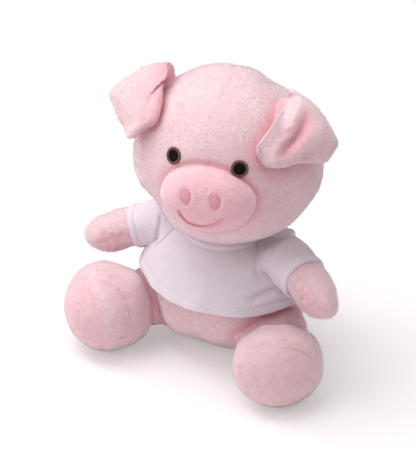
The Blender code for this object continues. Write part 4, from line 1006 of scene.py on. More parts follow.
# Moves of the flap in the photograph's plane, then of the base, which goes under it
EAR_BASE_PULLS = {
    1: [((276, 93), (290, 99)), ((274, 105), (290, 110)), ((272, 118), (286, 122)),
        ((268, 130), (278, 133))],
    -1: [((170, 86), (163, 88)), ((168, 100), (157, 100)), ((166, 114), (154, 112)),
         ((160, 124), (150, 120))],
}
EAR_PULLS = {
    1: [((276, 92), (284, 94)), ((272, 105), (277, 106)), ((272, 118), (273, 118)),
        ((284, 88), (286, 89)), ((338, 143), (339, 142)), ((325, 160), (327, 161)),
        ((256, 155), (258, 153)), ((262, 163), (264, 166)), ((276, 167), (277, 169.5)),
        ((301, 166), (301, 164)), ((331, 161), (331, 160))],
    -1: [((119, 125), (123, 126)), ((111.5, 110), (115, 110)), ((136.5, 134), (131, 138)),
         ((149, 130), (148, 129)), ((155, 121), (156, 123)), ((160, 100), (163, 99)),
         ((159, 85), (163, 84)), ((160, 72.5), (167, 71.5)), ((161.5, 63), (165.5, 61.5)),
         ((114, 82.5), (112, 84)), ((129, 70), (133, 70)), ((109.5, 97.5), (109, 94)),
         ((175, 75), (175, 74))],
}
EAR_REACH, EAR_BASE_REACH = 10, 11
# A flap's inner edge curls down to the head: the gap that it leaves and the most that it moves,
# and the share of the ear's length at which that starts, and over which it grows
EAR_CLEAR, EAR_CURLS = 0.0046, {1: 0.0075, -1: 0.0042}
EAR_CURL_STARTS, EAR_CURL_RUNS = {1: 0.44, -1: 0.40}, {1: 0.12, -1: 0.36}
# Each layer's side, thickness, name, material, slot and node; the lining's material is painted shade, a
# deeper pink copy of the plush
EAR_LAYERS = ((1, 0.0036, "ear_plush_", PLUSH, "plush", "ear_back_"),
              (-1, 0.0026, "ear_inside_", PLUSH_SHADED, "plush_deep", "ear_lining_"))


def ear_curl(flat, side, head_tree, share):
    """How far each point of a flap moves to the head."""
    drop = np.zeros(flat.shape[:2])
    for i, j in zip(*np.nonzero(share > 0.02)):
        gap = head_tree.ray_cast(Vector(flat[i, j]), Vector(-BACK))[3]
        drop[i, j] = min(max((gap or 0) - EAR_CLEAR, 0), EAR_CURLS[side])
    return drop * share


def make_ear(name, side, head_tree):
    at = np.concatenate([np.linspace(0, 0.72, 60)[:-1], np.linspace(0.72, 1.0, 34)])
    turns = around(88)
    flat = pull(ear_grid(side, at, turns, 1, EAR_LAYERS[0][1])[0], EAR_PULLS[side], EAR_REACH)
    tree = grid_tree(flat)
    creases = [(spots(tree, pixels, 30), width, depth)
               for pixels, width, depth in EAR_CREASES[side]]
    flap = ramp(at, 0.36, 0.1)[:, None]
    base = (ramp(at, 0, 0.06) * ramp(at, 0.46, -0.12))[:, None]
    inner_edge = ramp(-np.cos(turns), 0.55, 0.35)[None, :]
    curl = inner_edge * smooth(ramp(at, EAR_CURL_STARTS[side], EAR_CURL_RUNS[side]))[:, None]
    if side < 0:
        curl = curl * ramp(at, 0.92, -0.3)[:, None]
    drop = ear_curl(flat, side, head_tree, curl)
    layers = []
    for face, thickness, label, finish, slot, node in EAR_LAYERS:
        grid, normal = ear_grid(side, at, turns, face, thickness)
        grid = pull(grid, EAR_PULLS[side], EAR_REACH)
        grid = pull(grid, EAR_BASE_PULLS[side], EAR_BASE_REACH, base)
        # Painted shade: a richer pink in the flap's folds
        tone = groove_shade(grid, creases) * flap
        for path, width, depth in creases:
            if len(path) > 3:
                creased = crease(grid, normal, path, width, depth, 0.4)
                grid = grid - (grid - creased) * flap[..., None]
        grid = grid - drop[..., None] * BACK
        # Painted shade: a richer pink along the inner edge of this ear's flap, where it rolls to the head
        if side < 0:
            tone = np.maximum(tone, 0.8 * inner_edge * flap)
        piece = closed_form(label + name, nap(grid, normal * face, 31 + side))
        shade_from_rings(piece, tone)
        dress(piece, finish, "ear_" + name, node + name)
        plan_pile(label + "pile_" + name, piece, PILE_COUNT, PILE_LENGTH * 1.1, 131 + side + face,
                  "ear_" + name, slot)
        layers.append(piece)
    return layers


# Arms and legs
def limb_frame(limb, along):
    """A limb's middle at a distance along it, and two ways across it there."""
    out = X * limb["side"]
    turn = limb["bend"] * min(max(along, 0) / limb["bend_length"], 1)
    radius = limb["bend_length"] / limb["bend"]
    toward = limb["toward"]
    centre = (limb["root"] + out * (radius * math.sin(turn))
              + toward * (radius * (1 - math.cos(turn))))
    heading = out * math.cos(turn) + toward * math.sin(turn)
    centre = centre + heading * max(along - limb["bend_length"], 0) + out * min(along, 0)
    sideways = toward * math.cos(turn) - out * math.sin(turn)
    return centre, sideways, np.cross(out, toward)


def limb_grid(limb, places, turns, rounding=None):
    """Rings along a limb; rounding gives what is added to its radius at a share of it."""
    rows = []
    for along in places:
        centre, sideways, across = limb_frame(limb, along)
        share = min(max(along / limb["length"], 0), 1)
        past = max(share - limb["round_from"], 0) / (1 - limb["round_from"])
        rounded = (1 - min(past, 1) ** limb["power"]) ** (1 / limb["power"])
        half = limb["size"] / 2 * follow(limb["rows"], share)[0, 0] * rounded
        if rounding is not None:
            half = half + rounding(share)
        if along < 0:
            half *= math.sqrt(max(1 - (along / limb["dome"]) ** 2, 0.02))
        rows.append(ring(centre, turns, sideways * half, across * half))
    return np.array(rows)


def arm_of(side):
    drop = ARM_DROPS[side]
    return {"side": side, "root": np.array((ARM_ROOT_OUT * side, ARM_ROOT_BACK, ARM_ROOT_HEIGHT)),
            "bend": ARM_BEND, "bend_length": ARM_BEND_LENGTH,
            "toward": -Y * math.cos(drop) - Z * math.sin(drop), "rows": ARM_ROWS,
            "round_from": HAND_START, "power": HAND_POWER,
            "length": ARM_LENGTH, "size": ARM_DIAMETER, "dome": 0.007}


def leg_of(side):
    height = FOOT_HEIGHT / 2 - REST_CUT
    ankle = ANKLES[side]
    rows = ((0.00, 0.70), (ankle - 0.06, 0.70), (ankle + 0.02, 0.745), (ankle + 0.08, 0.86),
            (ankle + 0.16, 0.955), (FOOT_START, 1.00), (1.00, 1.00))
    return {"side": side, "root": np.array((LEG_ROOT_OUT * side, -LEG_ROOT_FORWARD, height)),
            "bend": LEG_BENDS[side], "bend_length": LEG_BEND_LENGTH, "toward": -Y,
            "rows": rows, "round_from": FOOT_START, "power": FOOT_POWER,
            "length": LEG_LENGTHS[side], "size": FOOT_WIDTH, "dome": 0.008}


ARM_PULLS = {
    -1: [((126, 206), (123, 208.5)), ((128.6, 206), (126.5, 209)), ((150, 203), (150, 206)),
         ((114, 208.5), (114, 211.5)),
         ((108, 249), (110, 252)), ((138, 249), (136, 248)), ((88, 232), (85, 236)),
         ((100, 215), (98, 219)), ((94, 245), (93, 248.5)), ((92, 222), (89, 226))],
    1: [((342, 300), (337, 298)), ((336, 283), (333, 283)), ((330, 319), (330, 318)),
        ((285, 293), (287, 293))],
}
# Pixels along the tufted seam in the middle of each hand, and along the painted shade under it
HAND_SEAMS = {-1: [(130, 234), (124, 234), (116, 236), (109, 238), (101, 242)],
              1: [(298, 288), (304, 295), (309, 302), (314, 310)]}
HAND_SHADES = {-1: [(97, 246), (104, 248), (112, 249), (122, 248), (131, 245)],
               1: [(296, 300), (303, 308), (310, 313), (318, 316)]}
# How high the streaks round that seam are, and how far from it the tufts reach
SPOKE_HEIGHT, TUFT_REACHES = 0.00032, {1: 0.0060, -1: 0.0032}
# Pixels along each armhole's seam, and moves of the viewer-right shoulder's outline
SLEEVE_SEAMS = {-1: [(161, 214), (160, 224), (157, 236), (153, 250)],
                1: [(284, 237), (273, 249), (268, 258), (268, 266), (271, 274), (278, 284)]}
SHOULDER_PULLS, SHOULDER_REACH = [((287, 234), (294, 230)), ((299, 239), (300, 238.5))], 8
# Length of the sleeve that widens to its armhole, and the share of it at which its stitches lie
ARMHOLE, SLEEVE_STITCHES = 0.0105, 0.84
SLEEVE_THICKNESS = 0.0014
# Where along an arm its joint starts and ends bending it
ARM_BLEND = (0.012, 0.029)
LEG_BLEND = (-0.004, 0.026)


def bend_of(limb, body, stops):
    """What blend() needs to bend a piece between the torso and a limb's body."""
    return ("torso", body, *(tuple(limb_frame(limb, along)[0]) for along in stops))


def make_arm(name, side, shirt_tree):
    limb = arm_of(side)
    places = np.concatenate([np.linspace(0, ARM_LENGTH * 0.9, 60)[:-1],
                             np.linspace(ARM_LENGTH * 0.9, ARM_LENGTH * 0.997, 14)])
    grid = pull(limb_grid(limb, places, around(96)), ARM_PULLS[side])
    normals = outward_of(grid)
    tree = grid_tree(grid)
    seam, shade = (spots(tree, pixels[side], 24) for pixels in (HAND_SEAMS, HAND_SHADES))
    # Painted shade: a richer pink along each hand's seam and under it
    tone = groove_shade(grid, [(seam, 0.0020, 0.0009), (shade, 0.0034, 0.0008)])
    offset = grid - seam.mean(axis=0)
    reach = np.linalg.norm(offset, axis=-1)
    spokes = field(unit(offset), 0.45, 47) * ramp(reach, 0, 0.004) * ramp(reach, 0.016, -0.008)
    grid = grid + normals * (SPOKE_HEIGHT * spokes)[..., None]
    grid = crease(grid, normals, seam, 0.0014, 0.0005, 0.2)
    grid = nap(grid, normals, 41 + side)
    tuck = np.clip(1 - places / (SLEEVE_LENGTH * 0.8), 0, 1)[:, None, None]
    grid = grid - normals * (0.0032 * tuck)
    end = pull(limb_frame(limb, ARM_LENGTH)[0][None], ARM_PULLS[side])[0]
    piece = closed_form("arm_plush_" + name, grid, None, end)
    shade_from_rings(piece, tone)
    dress(piece, PLUSH, None, ("arm_skin_" + name, "arm_filling_" + name))
    bend = bend_of(limb, "arm_" + name, ARM_BLEND)
    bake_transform(piece, *bend)
    cuff = limb_frame(limb, SLEEVE_LENGTH)[0]
    heading = unit(limb_frame(limb, ARM_LENGTH)[0] - cuff)
    plan_pile("arm_pile_" + name, piece, PILE_COUNT, PILE_LENGTH * 1.2, 141 + side, blend=bend,
              keep=lambda roots, out: (roots - cuff) @ heading > -0.001)
    plan_pile("hand_tufts_" + name, piece, PILE_COUNT * 0.5, 0.0025, 145 + side, blend=bend,
              keep=lambda roots, out: away_from(roots, seam)[0] < TUFT_REACHES[side], lean=1.0,
              width=0.00013, comb=seam, finish=LIT_TUFTS)
    make_sleeve(name, side, limb, bend, shirt_tree)


def sleeve_grid(limb, stops, turns, thickness):
    """A surface of a sleeve, at a distance from its inner one."""
    side = limb["side"]
    rows = []
    for along in stops:
        centre, sideways, across = limb_frame(limb, along)
        share = min(max(along / SLEEVE_LENGTH, 0), 1)
        arm = limb["size"] / 2 * max(follow(ARM_ROWS, max(along, 0) / ARM_LENGTH)[0, 0], 0.93)
        flare = 0.0045 * ramp(along, stops[0] + ARMHOLE, -ARMHOLE) ** 2
        radius = arm + GAP + 0.0002 + 0.0020 * (1 - share) + thickness + flare
        radius -= (0.0013 if thickness else 0.0005) * ramp(share, 0.94, 0.06) ** 2
        if thickness:
            radius += 0.0005 * (share > SLEEVE_STITCHES)
            radius -= 0.0006 * math.exp(-((share - SLEEVE_STITCHES) / 0.03) ** 2)
        rows.append(ring(centre, turns, sideways * radius, across * radius))
    grid = pull(np.array(rows), ARM_PULLS[side])
    return pull(grid, SHOULDER_PULLS, SHOULDER_REACH) if side > 0 else grid


def make_sleeve(name, side, limb, bend, shirt_tree):
    stops = np.linspace(-0.001, SLEEVE_LENGTH, 56)
    shares = ramp(stops, 0, SLEEVE_LENGTH)
    turns = around(96)
    outer, inner = (sleeve_grid(limb, stops, turns, wall) for wall in (SLEEVE_THICKNESS, 0.0))
    normals = outward_of(outer)
    folds = (0.0008 * field(outer * np.array((1.0, 1.0, 1.6)), 0.021, 51 + side)
             + 0.0002 * field(outer, 0.009, 53))
    folds = np.maximum(folds, -0.0004) * np.clip(1.15 - shares, 0.25, 1)[:, None]
    outer = outer + normals * folds[..., None]
    inner = inner + normals * np.maximum(folds, 0)[..., None]
    # The first rows settle onto the shirt
    close = smooth(ramp(stops, stops[0] + ARMHOLE, -ARMHOLE))
    for k in np.nonzero(close > 0)[0]:
        for j in range(len(turns)):
            for wall, lift in ((outer, 0.0004 + 0.0008 * min(k / 4, 1)), (inner, -0.0004)):
                place, normal, _, _ = shirt_tree.find_nearest(Vector(wall[k, j]))
                wall[k, j] += (np.array(place + normal * lift) - wall[k, j]) * close[k]
    normals = outward_of(outer)
    armhole = spots(grid_tree(outer), SLEEVE_SEAMS[side], 30)
    outer = crease(outer, normals, armhole, 0.0011, 0.0008, 0.1)
    outer = crease(outer, normals, armhole + (0.0026 * side) * RIGHT, 0.0024, -0.0008, 0.3)
    normals = outward_of(outer)
    sleeve = walled_form("sleeve_jersey_" + name, outer, inner)
    row = int(np.argmin(np.abs(shares - SLEEVE_STITCHES)))
    stitches = stitch_line("sleeve_stitches_" + name, outer[row], normals[row], 0.0028)
    dress(sleeve, JERSEY, None, "sleeve_" + name)
    dress(stitches, JERSEY_THREAD)
    for cloth in (sleeve, stitches):
        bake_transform(cloth, *bend)


def cloth_uvs(outer):
    """Cloth coordinates in millimetres for a walled tube's points."""
    step = np.linalg.norm(np.roll(outer, -1, axis=1) - outer, axis=-1)
    u = np.cumsum(step, axis=1).mean(axis=0)
    v = np.concatenate([[0], np.cumsum(np.linalg.norm(np.diff(outer, axis=0), axis=-1)
                                       .mean(axis=1))])
    rows = [np.stack([u, np.full_like(u, height)], axis=-1) for height in v]
    grid = np.concatenate([np.array(rows), np.array(rows)[::-1]]) * 1000
    return grid.reshape(-1, 2)


STITCH_RADIUS, STITCH_SHARE = 0.00042, 0.66
# How wide a stitch is at stations along it, and how high its middle is, as shares of its radius
STITCH_BULGE, STITCH_RISE = (0.35, 0.85, 1.0, 0.85, 0.35), (-0.5, 0.2, 0.4, 0.2, -0.5)
STITCH_SIDES = 6


def stitch_line(name, path, normals, pitch):
    """A row of short raised stitches all round a cloth's surface."""
    path = np.vstack([path, path[:1]])
    normals = np.vstack([normals, normals[:1]])
    steps = np.concatenate([[0], np.cumsum(np.linalg.norm(np.diff(path, axis=0), axis=1))])
    count, stations = int(steps[-1] / pitch), len(STITCH_BULGE)
    points, faces = [], []
    for k in range(count):
        begin = steps[-1] * k / count
        inside = np.linspace(begin, begin + pitch * STITCH_SHARE, stations)
        centre, out = (np.stack([np.interp(inside, steps, rows[:, c]) for c in range(3)], axis=-1)
                       for rows in (path, normals))
        out = unit(out)
        ahead = unit(centre[-1] - centre[0])
        base = len(points)
        for i, (bulge, rise) in enumerate(zip(STITCH_BULGE, STITCH_RISE)):
            middle = centre[i] + out[i] * (rise * STITCH_RADIUS)
            radius = STITCH_RADIUS * bulge
            points += list(ring(middle, around(STITCH_SIDES),
                                unit(np.cross(out[i], ahead)) * radius, out[i] * radius))
        faces += [tuple(base + corner for corner in face)
                  for face in ring_faces(stations, STITCH_SIDES)]
        faces.append(tuple(base + j for j in reversed(range(STITCH_SIDES))))
        faces.append(tuple(base + (stations - 1) * STITCH_SIDES + j for j in range(STITCH_SIDES)))
    return add_mesh(name, np.array(points), faces)


LEG_PULLS = {
    -1: [((107, 262), (101, 259)), ((84, 272), (83, 270)), ((127, 262), (124, 264))],
    1: [((322, 363), (321.5, 364)), ((276, 315), (275, 322)), ((252, 324), (252, 329)),
        ((300, 322), (299, 327))],
}
# The viewer-right thigh rises under the hem
THIGH_PULLS = [((296, 327), (306, 326)), ((288, 318), (294, 309)), ((264, 321), (262, 312)),
               ((243, 336), (240, 336))]
# How much painted shade each sole has, as a richer pink, and how much thinner a leg is at its ankle's seam
SOLE_SHADES, ANKLE_DIP = {1: 0.12, -1: 0.30}, 0.0026
# Pixels along each seam and wrinkle of a foot, its width and depth
FOOT_SEAMS = {
    -1: (([(96, 283), (108, 285), (119, 290), (127, 300), (131, 312), (131, 325)], 0.0013, 0.0006),
         ([(121, 302), (127, 298), (133, 296)], 0.0014, 0.0006),
         ([(119, 337), (126, 337)], 0.0014, 0.0007)),
    1: (([(281, 347), (290, 349), (300, 352), (310, 358), (319, 369)], 0.0012, 0.0009),
        ([(243, 352), (252, 347), (264, 346), (281, 347)], 0.0014, 0.0003),
        ([(285, 333), (286, 340), (283, 347)], 0.0012, 0.0005)),
}


def make_leg(name, side):
    limb = leg_of(side)
    length, ankle = limb["length"], ANKLES[side]
    body = "leg_" + name
    turns = around(150)
    whole = pull(limb_grid(limb, np.linspace(0, length * 0.998, 70), turns), LEG_PULLS[side])
    tree = grid_tree(whole)
    seams = [(spots(tree, pixels, 24), width, depth) for pixels, width, depth in FOOT_SEAMS[side]]
    sides = [(places, limb_grid(limb, places, turns,
                                lambda at: -ANKLE_DIP * math.exp(-((at - ankle) / 0.035) ** 2)))
             for places in (np.linspace(-0.0055, length * SOLE_SEAM, 78),
                            length * SOLE_SEAM + length * (0.998 - SOLE_SEAM)
                            * np.sin(np.linspace(0, math.pi / 2, 46)))]
    grids, tones = [], []
    for places, grid in sides:
        shares = places / length
        grid = pull(grid, LEG_PULLS[side])
        if side > 0:
            grid = pull(grid, THIGH_PULLS, share=smooth(ramp(shares, ankle, -0.12))[:, None])
        normals = outward_of(grid)
        # Painted shade: a richer pink along the foot's seams and wrinkles, round the ankle's seam and on the
        # sole
        tone = groove_shade(grid, seams)
        for path, width, depth in seams:
            grid = crease(grid, normals, path, width, depth, 0.2)
        tone = np.maximum(tone, 0.5 * np.exp(-((shares - ankle) / 0.04) ** 2)[:, None])
        if places[0] > 0:
            tone = np.maximum(tone, SOLE_SHADES[side] * ramp(shares, 0.80, 0.03)[:, None])
        else:
            for turn, depth in ((math.pi / 2, 0.0009), (-math.pi / 2, 0.0006)):
                path = limb_grid(limb, places, np.array([turn]))[:, 0]
                grid = crease(grid, normals, path, 0.0014, depth, 0.04)
        lumpy = nap(grid, normals, 61 + 3 * side, 1.2)
        rough = ramp(grid[..., 2], 0.0015, 0.006)[..., None]
        grid = grid + (lumpy - grid) * rough
        grid[..., 2] = np.maximum(grid[..., 2], LEAST_HEIGHT)
        grids.append(grid)
        tones.append(tone)
    skin = closed_form("leg_plush_" + name, grids[0])
    tip = pull(limb_frame(limb, length)[0][None], LEG_PULLS[side])[0]
    sole = closed_form("sole_plush_" + name, grids[1], None, tip)
    shade_from_rings(skin, tones[0])
    shade_from_rings(sole, tones[1])
    dress(skin, PLUSH, None, ("leg_skin_" + name, "leg_filling_" + name))
    dress(sole, PLUSH, body, "sole_" + name)
    bend = bend_of(limb, body, LEG_BLEND)
    plan_pile("leg_pile_" + name, skin, PILE_COUNT, PILE_LENGTH, 151 + side, blend=bend)
    plan_pile("sole_pile_" + name, sole, PILE_COUNT, PILE_LENGTH, 161 + side, body)
    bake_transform(skin, *bend)
    return skin


# T-shirt
def neck_ring(turns, lift, polar):
    """Points round the neck, so far from its pivot and at an angle from straight up."""
    lift = np.broadcast_to(lift, turns.shape)
    flat = np.stack([np.cos(turns), np.sin(turns)], axis=-1) * lift[:, None] * math.sin(polar)
    return np.column_stack([flat, NECK_PIVOT_HEIGHT + lift * math.cos(polar)])


SHIRT_ROWS, SHIRT_COLUMNS = 64, 288
# Its distance from the legs under it, and the height of its hem's stitches above its edge
SHIRT_THICKNESS, SHIRT_CLEAR, HEM_BAND = 0.0013, 0.0022, 0.0048
# The row of its grid that the neck's stitches follow, and the angles of the rows round the neck
NECK_ROW, NECK_ANGLES = SHIRT_ROWS + 1, np.radians((51.5, 49.0, 46.5, 44.0))
# Pixels along each fold, its width and its depth
SHIRT_FOLDS = (
    ([(246, 302), (256, 297), (268, 291), (283, 286)], 0.0024, 0.0026),
    ([(236, 306), (254, 304), (268, 299), (280, 294), (288, 291)], 0.0028, -0.0018),
    ([(236, 292), (254, 288), (270, 280)], 0.0040, -0.0012),
    ([(158, 240), (165, 262), (178, 284)], 0.0040, -0.0014),
    ([(262, 250), (252, 268), (250, 288)], 0.0042, -0.0010),
)


def shirt_grid():
    angles = around(SHIRT_COLUMNS)
    front = np.maximum(-np.sin(angles), 0)
    ups = np.linspace(0, 1, SHIRT_ROWS)
    low = (HEM_SIDE_HEIGHT - HEM_FRONT_DROP * front) / BODY_HEIGHT
    ease = HEM_EASE * follow(HEM_EASE_ROWS, ups)[:, 0]
    grow = GAP + SHIRT_THICKNESS
    rows = []
    for k, up in enumerate(ups):
        share = low + (BODY_ROWS[-1][0] - low) * up
        width, depth, back = follow(BODY_ROWS, share).T
        fold = HEM_FOLD * (1 - up) ** 2 * (1 + np.cos(7 * angles)) / 2
        x = (BODY_WIDTH / 2 * width + grow + ease[k] + fold) * np.cos(angles)
        y = SEAT_BACK * back + (BODY_DEPTH / 2 * depth + grow + ease[k] + fold) * np.sin(angles)
        rows.append(np.stack([x, y, share * (BODY_HEIGHT + 2 * grow) - grow], axis=-1))
    rows += [neck_ring(angles, NECK_RADIUS + grow, polar) for polar in NECK_ANGLES]
    return np.array(rows)


def settle(grid, trees, margin, rounds=10):
    """Moves a cloth off the forms under it, and spreads each move to its neighbourhood."""
    for _ in range(rounds):
        push = np.zeros_like(grid)
        for tree in trees:
            for i in range(grid.shape[0]):
                for j in range(grid.shape[1]):
                    point = Vector(grid[i, j])
                    place, normal, _, _ = tree.find_nearest(point, 0.02)
                    if place is None:
                        continue
                    depth = margin - (point - place).dot(normal)
                    if depth > 0:
                        push[i, j] += np.array(normal) * depth
        if not push.any():
            break
        wide = push.copy()
        for _ in range(3):
            soft = (np.roll(wide, 1, axis=1) + np.roll(wide, -1, axis=1)) / 2
            down = np.concatenate([wide[:1], wide[:-1]])
            up = np.concatenate([wide[1:], wide[-1:]])
            wide = 0.34 * wide + 0.33 * soft + 0.165 * (down + up)
        size = np.linalg.norm(push, axis=-1, keepdims=True)
        wide_size = np.linalg.norm(wide, axis=-1, keepdims=True)
        grid = grid + np.where(size > wide_size, push, wide)
    return grid


def make_shirt(legs):
    grid = shirt_grid()
    normals = outward_of(grid)
    ups = np.clip(np.arange(len(grid)) / (SHIRT_ROWS - 1), 0, 1)[:, None]
    drape = (0.0009 * field(grid * np.array((1, 1, 0.45)), 0.034, 71)
             + 0.0002 * field(grid * np.array((1, 1, 0.7)), 0.015, 72))
    grid = grid + normals * (np.maximum(drape, -0.0005) * np.clip(1.2 - ups, 0.3, 1))[..., None]
    grid = pull(grid, SHOULDER_PULLS, SHOULDER_REACH)
    grid = settle(grid, [tree_of(piece) for piece in legs], SHIRT_CLEAR)
    tree = grid_tree(grid)
    normals = outward_of(grid)
    armholes = tuple((SLEEVE_SEAMS[side], 0.0012, 0.0006) for side in SIDES.values())
    for pixels, width, depth in SHIRT_FOLDS + armholes:
        path = spots(tree, pixels, 30)
        if len(path) > 3:
            grid = crease(grid, normals, path, width, depth, 0.35)
    for column in (0, SHIRT_COLUMNS // 2):
        grid = crease(grid, normals, grid[:, column].copy(), 0.0011, 0.0006, 0.02)
    height = np.concatenate([np.zeros((1, SHIRT_COLUMNS)), np.cumsum(
        np.linalg.norm(np.diff(grid, axis=0), axis=-1), axis=0)])
    band = 1 / (1 + np.exp((height - HEM_BAND) / 0.00025))
    groove = np.exp(-((height - HEM_BAND) / 0.0007) ** 2)
    normals = outward_of(grid)
    outer = grid + normals * (0.0006 * band - 0.0005 * groove)[..., None]
    inner = grid - normals * SHIRT_THICKNESS
    shirt = walled_form("shirt_jersey", outer, inner)
    dress(shirt, JERSEY, "torso", ("shirt_front", "shirt_back"))
    line = np.array([[np.interp(HEM_BAND, height[:, j], outer[:, j, c]) for c in range(3)]
                     for j in range(SHIRT_COLUMNS)])
    stitches = stitch_line("shirt_hem_stitches", line, normals[12], 0.0028)
    dress(stitches, JERSEY_THREAD, "torso")
    neck_stitches = stitch_line("shirt_neck_stitches", outer[NECK_ROW], normals[NECK_ROW], 0.0026)
    dress(neck_stitches, JERSEY_THREAD, "torso")
    return grid_tree(outer)


def make_collar():
    """A narrow rib of cloth round the neck, and the plush neck under the head."""
    turns = around(220)
    section = around(16)
    rows = []
    for angle in section:
        polar = math.radians(45.8) + math.radians(4.4) * math.cos(angle)
        rib = 0.00012 * np.cos(turns * 90)
        lift = NECK_RADIUS + 0.0015 + 0.0009 * math.sin(angle) + rib * (math.sin(angle) > 0)
        rows.append(neck_ring(turns, lift, polar))
    uvs = np.stack([np.tile(turns * 24, len(rows)), np.repeat(section * 1.2, len(turns))], axis=-1)
    collar = looped_form("collar_jersey", np.array(rows), uvs)
    dress(collar, JERSEY, "torso", "shirt_collar")
    neck = []
    for angle in section:
        polar = math.radians(25) + math.radians(13) * math.cos(angle)
        lift = NECK_RADIUS + GAP + 0.0010 + 0.0010 * math.sin(angle)
        neck.append(neck_ring(turns, lift, polar))
    band = looped_form("neck_plush", np.array(neck))
    dress(band, PLUSH, "neck", "neck_ring")


def make_tail():
    half_depth = BODY_DEPTH / 2 * follow(BODY_ROWS, TAIL_HEIGHT / BODY_HEIGHT)[0, 1]
    back = SEAT_BACK * follow(BODY_ROWS, TAIL_HEIGHT / BODY_HEIGHT)[0, 2]
    start = np.array((0, back + half_depth, TAIL_HEIGHT))
    shares = np.linspace(0, 1, 110)
    angles = 2 * math.pi * TAIL_TURNS * shares
    wide = np.minimum(shares * 3, 1) * TAIL_CURL_RADIUS
    path = (start + np.outer(TAIL_BALL_RADIUS + TAIL_CURL_PITCH * TAIL_TURNS * shares, Y)
            + np.outer(wide * np.sin(angles), X) + np.outer(wide * (1 - np.cos(angles)), Z))
    lead = np.array([start + Y * d for d in (-0.004, -0.002, 0.0, 0.002)])
    radii = TAIL_RADIUS * (1 - 0.5 * shares) * (1 + 0.05 * np.sin(shares * 60))
    radii *= np.sqrt(np.clip((1 - shares) / 0.06, 0.08, 1))
    path = np.vstack([lead, path])
    radii = np.concatenate([(0.0026, 0.0038, 0.0042, 0.0039), radii])
    piece = tube("tail_plush", path, radii, 22)
    dress(piece, PLUSH, "tail", "tail")


# Stage, lights and camera
# The camera sees the floor turn white: its glow near the toy, and where that grows and ends
FLOOR_GLOW, GLOW_START, GLOW_END = 0.34, 0.14, 0.42
AMBIENT = 0.34
LAMP_AIM = np.array((0, 0, 0.1))


def make_stage():
    bpy.ops.mesh.primitive_plane_add(size=6, location=(0, 0, 0))
    floor = bpy.context.object
    floor.name = "floor"
    made, nodes, links, shader = nodes_of("studio_floor")
    set_inputs(shader, {"Base Color": (0.95, 0.89, 0.92, 1), "Roughness": 0.9,
                        "Specular IOR Level": 0.1})
    path = nodes.new("ShaderNodeLightPath")
    glow = nodes.new("ShaderNodeEmission")
    glow.inputs["Color"].default_value = (1, 1, 1, 1)
    mix = nodes.new("ShaderNodeMixShader")
    reach = nodes.new("ShaderNodeVectorMath")
    reach.operation = "LENGTH"
    links.new(nodes.new("ShaderNodeTexCoord").outputs["Object"], reach.inputs[0])
    wide = nodes.new("ShaderNodeMapRange")
    set_inputs(wide, {"From Min": GLOW_START, "From Max": GLOW_END, "To Min": FLOOR_GLOW,
                      "To Max": 1.0})
    links.new(reach.outputs["Value"], wide.inputs["Value"])
    seen = product(nodes, links, path.outputs["Is Camera Ray"], wide.outputs["Result"])
    links.new(seen, mix.inputs[0])
    links.new(shader.outputs[0], mix.inputs[1])
    links.new(glow.outputs[0], mix.inputs[2])
    links.new(mix.outputs[0], nodes["Material Output"].inputs["Surface"])
    floor.data.materials.append(made)

    world = bpy.data.worlds.new("studio")
    scene.world = world
    world.use_nodes = True
    nodes, links = world.node_tree.nodes, world.node_tree.links
    back = nodes["Background"]
    back.inputs["Color"].default_value = (1.0, 1.0, 1.0, 1)
    path = nodes.new("ShaderNodeLightPath")
    strength = nodes.new("ShaderNodeMapRange")
    set_inputs(strength, {"To Min": AMBIENT, "To Max": 1.0})
    links.new(path.outputs["Is Camera Ray"], strength.inputs["Value"])
    links.new(strength.outputs["Result"], back.inputs["Strength"])


# Name, place in the view (right, up, towards the camera), size and power
LAMPS = (
    ("key_lamp", (-0.95, 1.15, -0.45), 0.9, 8.0),
    ("top_lamp", (-0.25, 1.50, -0.10), 1.1, 14.0),
    ("front_lamp", (0.30, 1.40, 0.40), 1.2, 4.0),
    ("side_lamp", (-1.20, 0.80, 0.60), 1.0, 5.5),
)


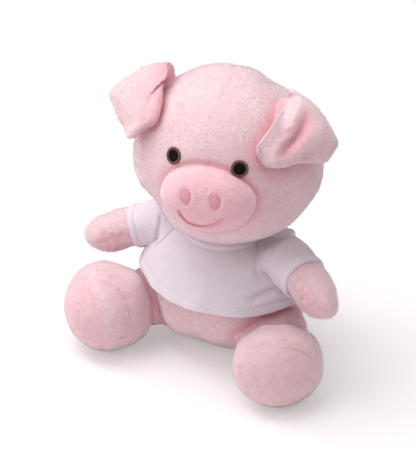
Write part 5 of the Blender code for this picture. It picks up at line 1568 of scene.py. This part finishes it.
def make_lights():
    for name, (right, up, near), size, power in LAMPS:
        lamp = bpy.data.lights.new(name, "AREA")
        lamp.shape = "DISK"
        lamp.size = size
        lamp.energy = power
        holder = bpy.data.objects.new(name, lamp)
        scene.collection.objects.link(holder)
        level = unit(np.array((BACK[0], BACK[1], 0)))
        place = LAMP_AIM + RIGHT * right + Z * up + level * near
        holder.location = Vector(place)
        aim = Vector(LAMP_AIM) - Vector(place)
        holder.rotation_euler = aim.to_track_quat("-Z", "Y").to_euler()


def make_camera():
    data = bpy.data.cameras.new("camera")
    camera = bpy.data.objects.new("camera", data)
    scene.collection.objects.link(camera)
    data.sensor_width = SENSOR
    data.lens = FOCAL_PIXELS * SENSOR / IMAGE_HEIGHT
    data.shift_x = (IMAGE_WIDTH / 2 - MIDDLE_PIXEL[0]) / IMAGE_HEIGHT
    data.shift_y = (MIDDLE_PIXEL[1] - IMAGE_HEIGHT / 2) / IMAGE_HEIGHT
    data.clip_start, data.clip_end = 0.05, 20
    camera.location = Vector(EYE)
    camera.rotation_euler = Vector(-BACK).to_track_quat("-Z", "Y").to_euler()
    scene.camera = camera
    scene.view_settings.view_transform = "Standard"


make_camera()
make_stage()
make_lights()
body, head, snout = make_body(), make_head(), make_snout()
make_face_details(snout)
head_tree = tree_of(head)
legs, ears = [], []
for name, side in SIDES.items():
    ears += make_ear(name, side, head_tree)
    legs.append(make_leg(name, side))
shirt_tree = make_shirt(legs)
for name, side in SIDES.items():
    make_arm(name, side, shirt_tree)
make_collar()
make_tail()
# Painted shade: a richer pink where pieces come close, on the head by the ears and snout, and on the snout,
# ears, body and legs
paint_contact_shade(head, ears + [snout])
paint_contact_shade(snout, [head], 0.0030, 0.5)
for ear in ears:
    paint_contact_shade(ear, [head], 0.0040, 0.5)
paint_contact_shade(body, legs)
for leg in legs:
    paint_contact_shade(leg, [body])
for settings, more in PILES:
    pile(*settings, **more)
for name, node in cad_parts.items():
    if "filling" in name or name == "bean_bag":
        node.data.materials.clear()
        node.data.materials.append(BEAN_CLOTH if name == "bean_bag" else FIBRE)

bpy.context.view_layer.update()
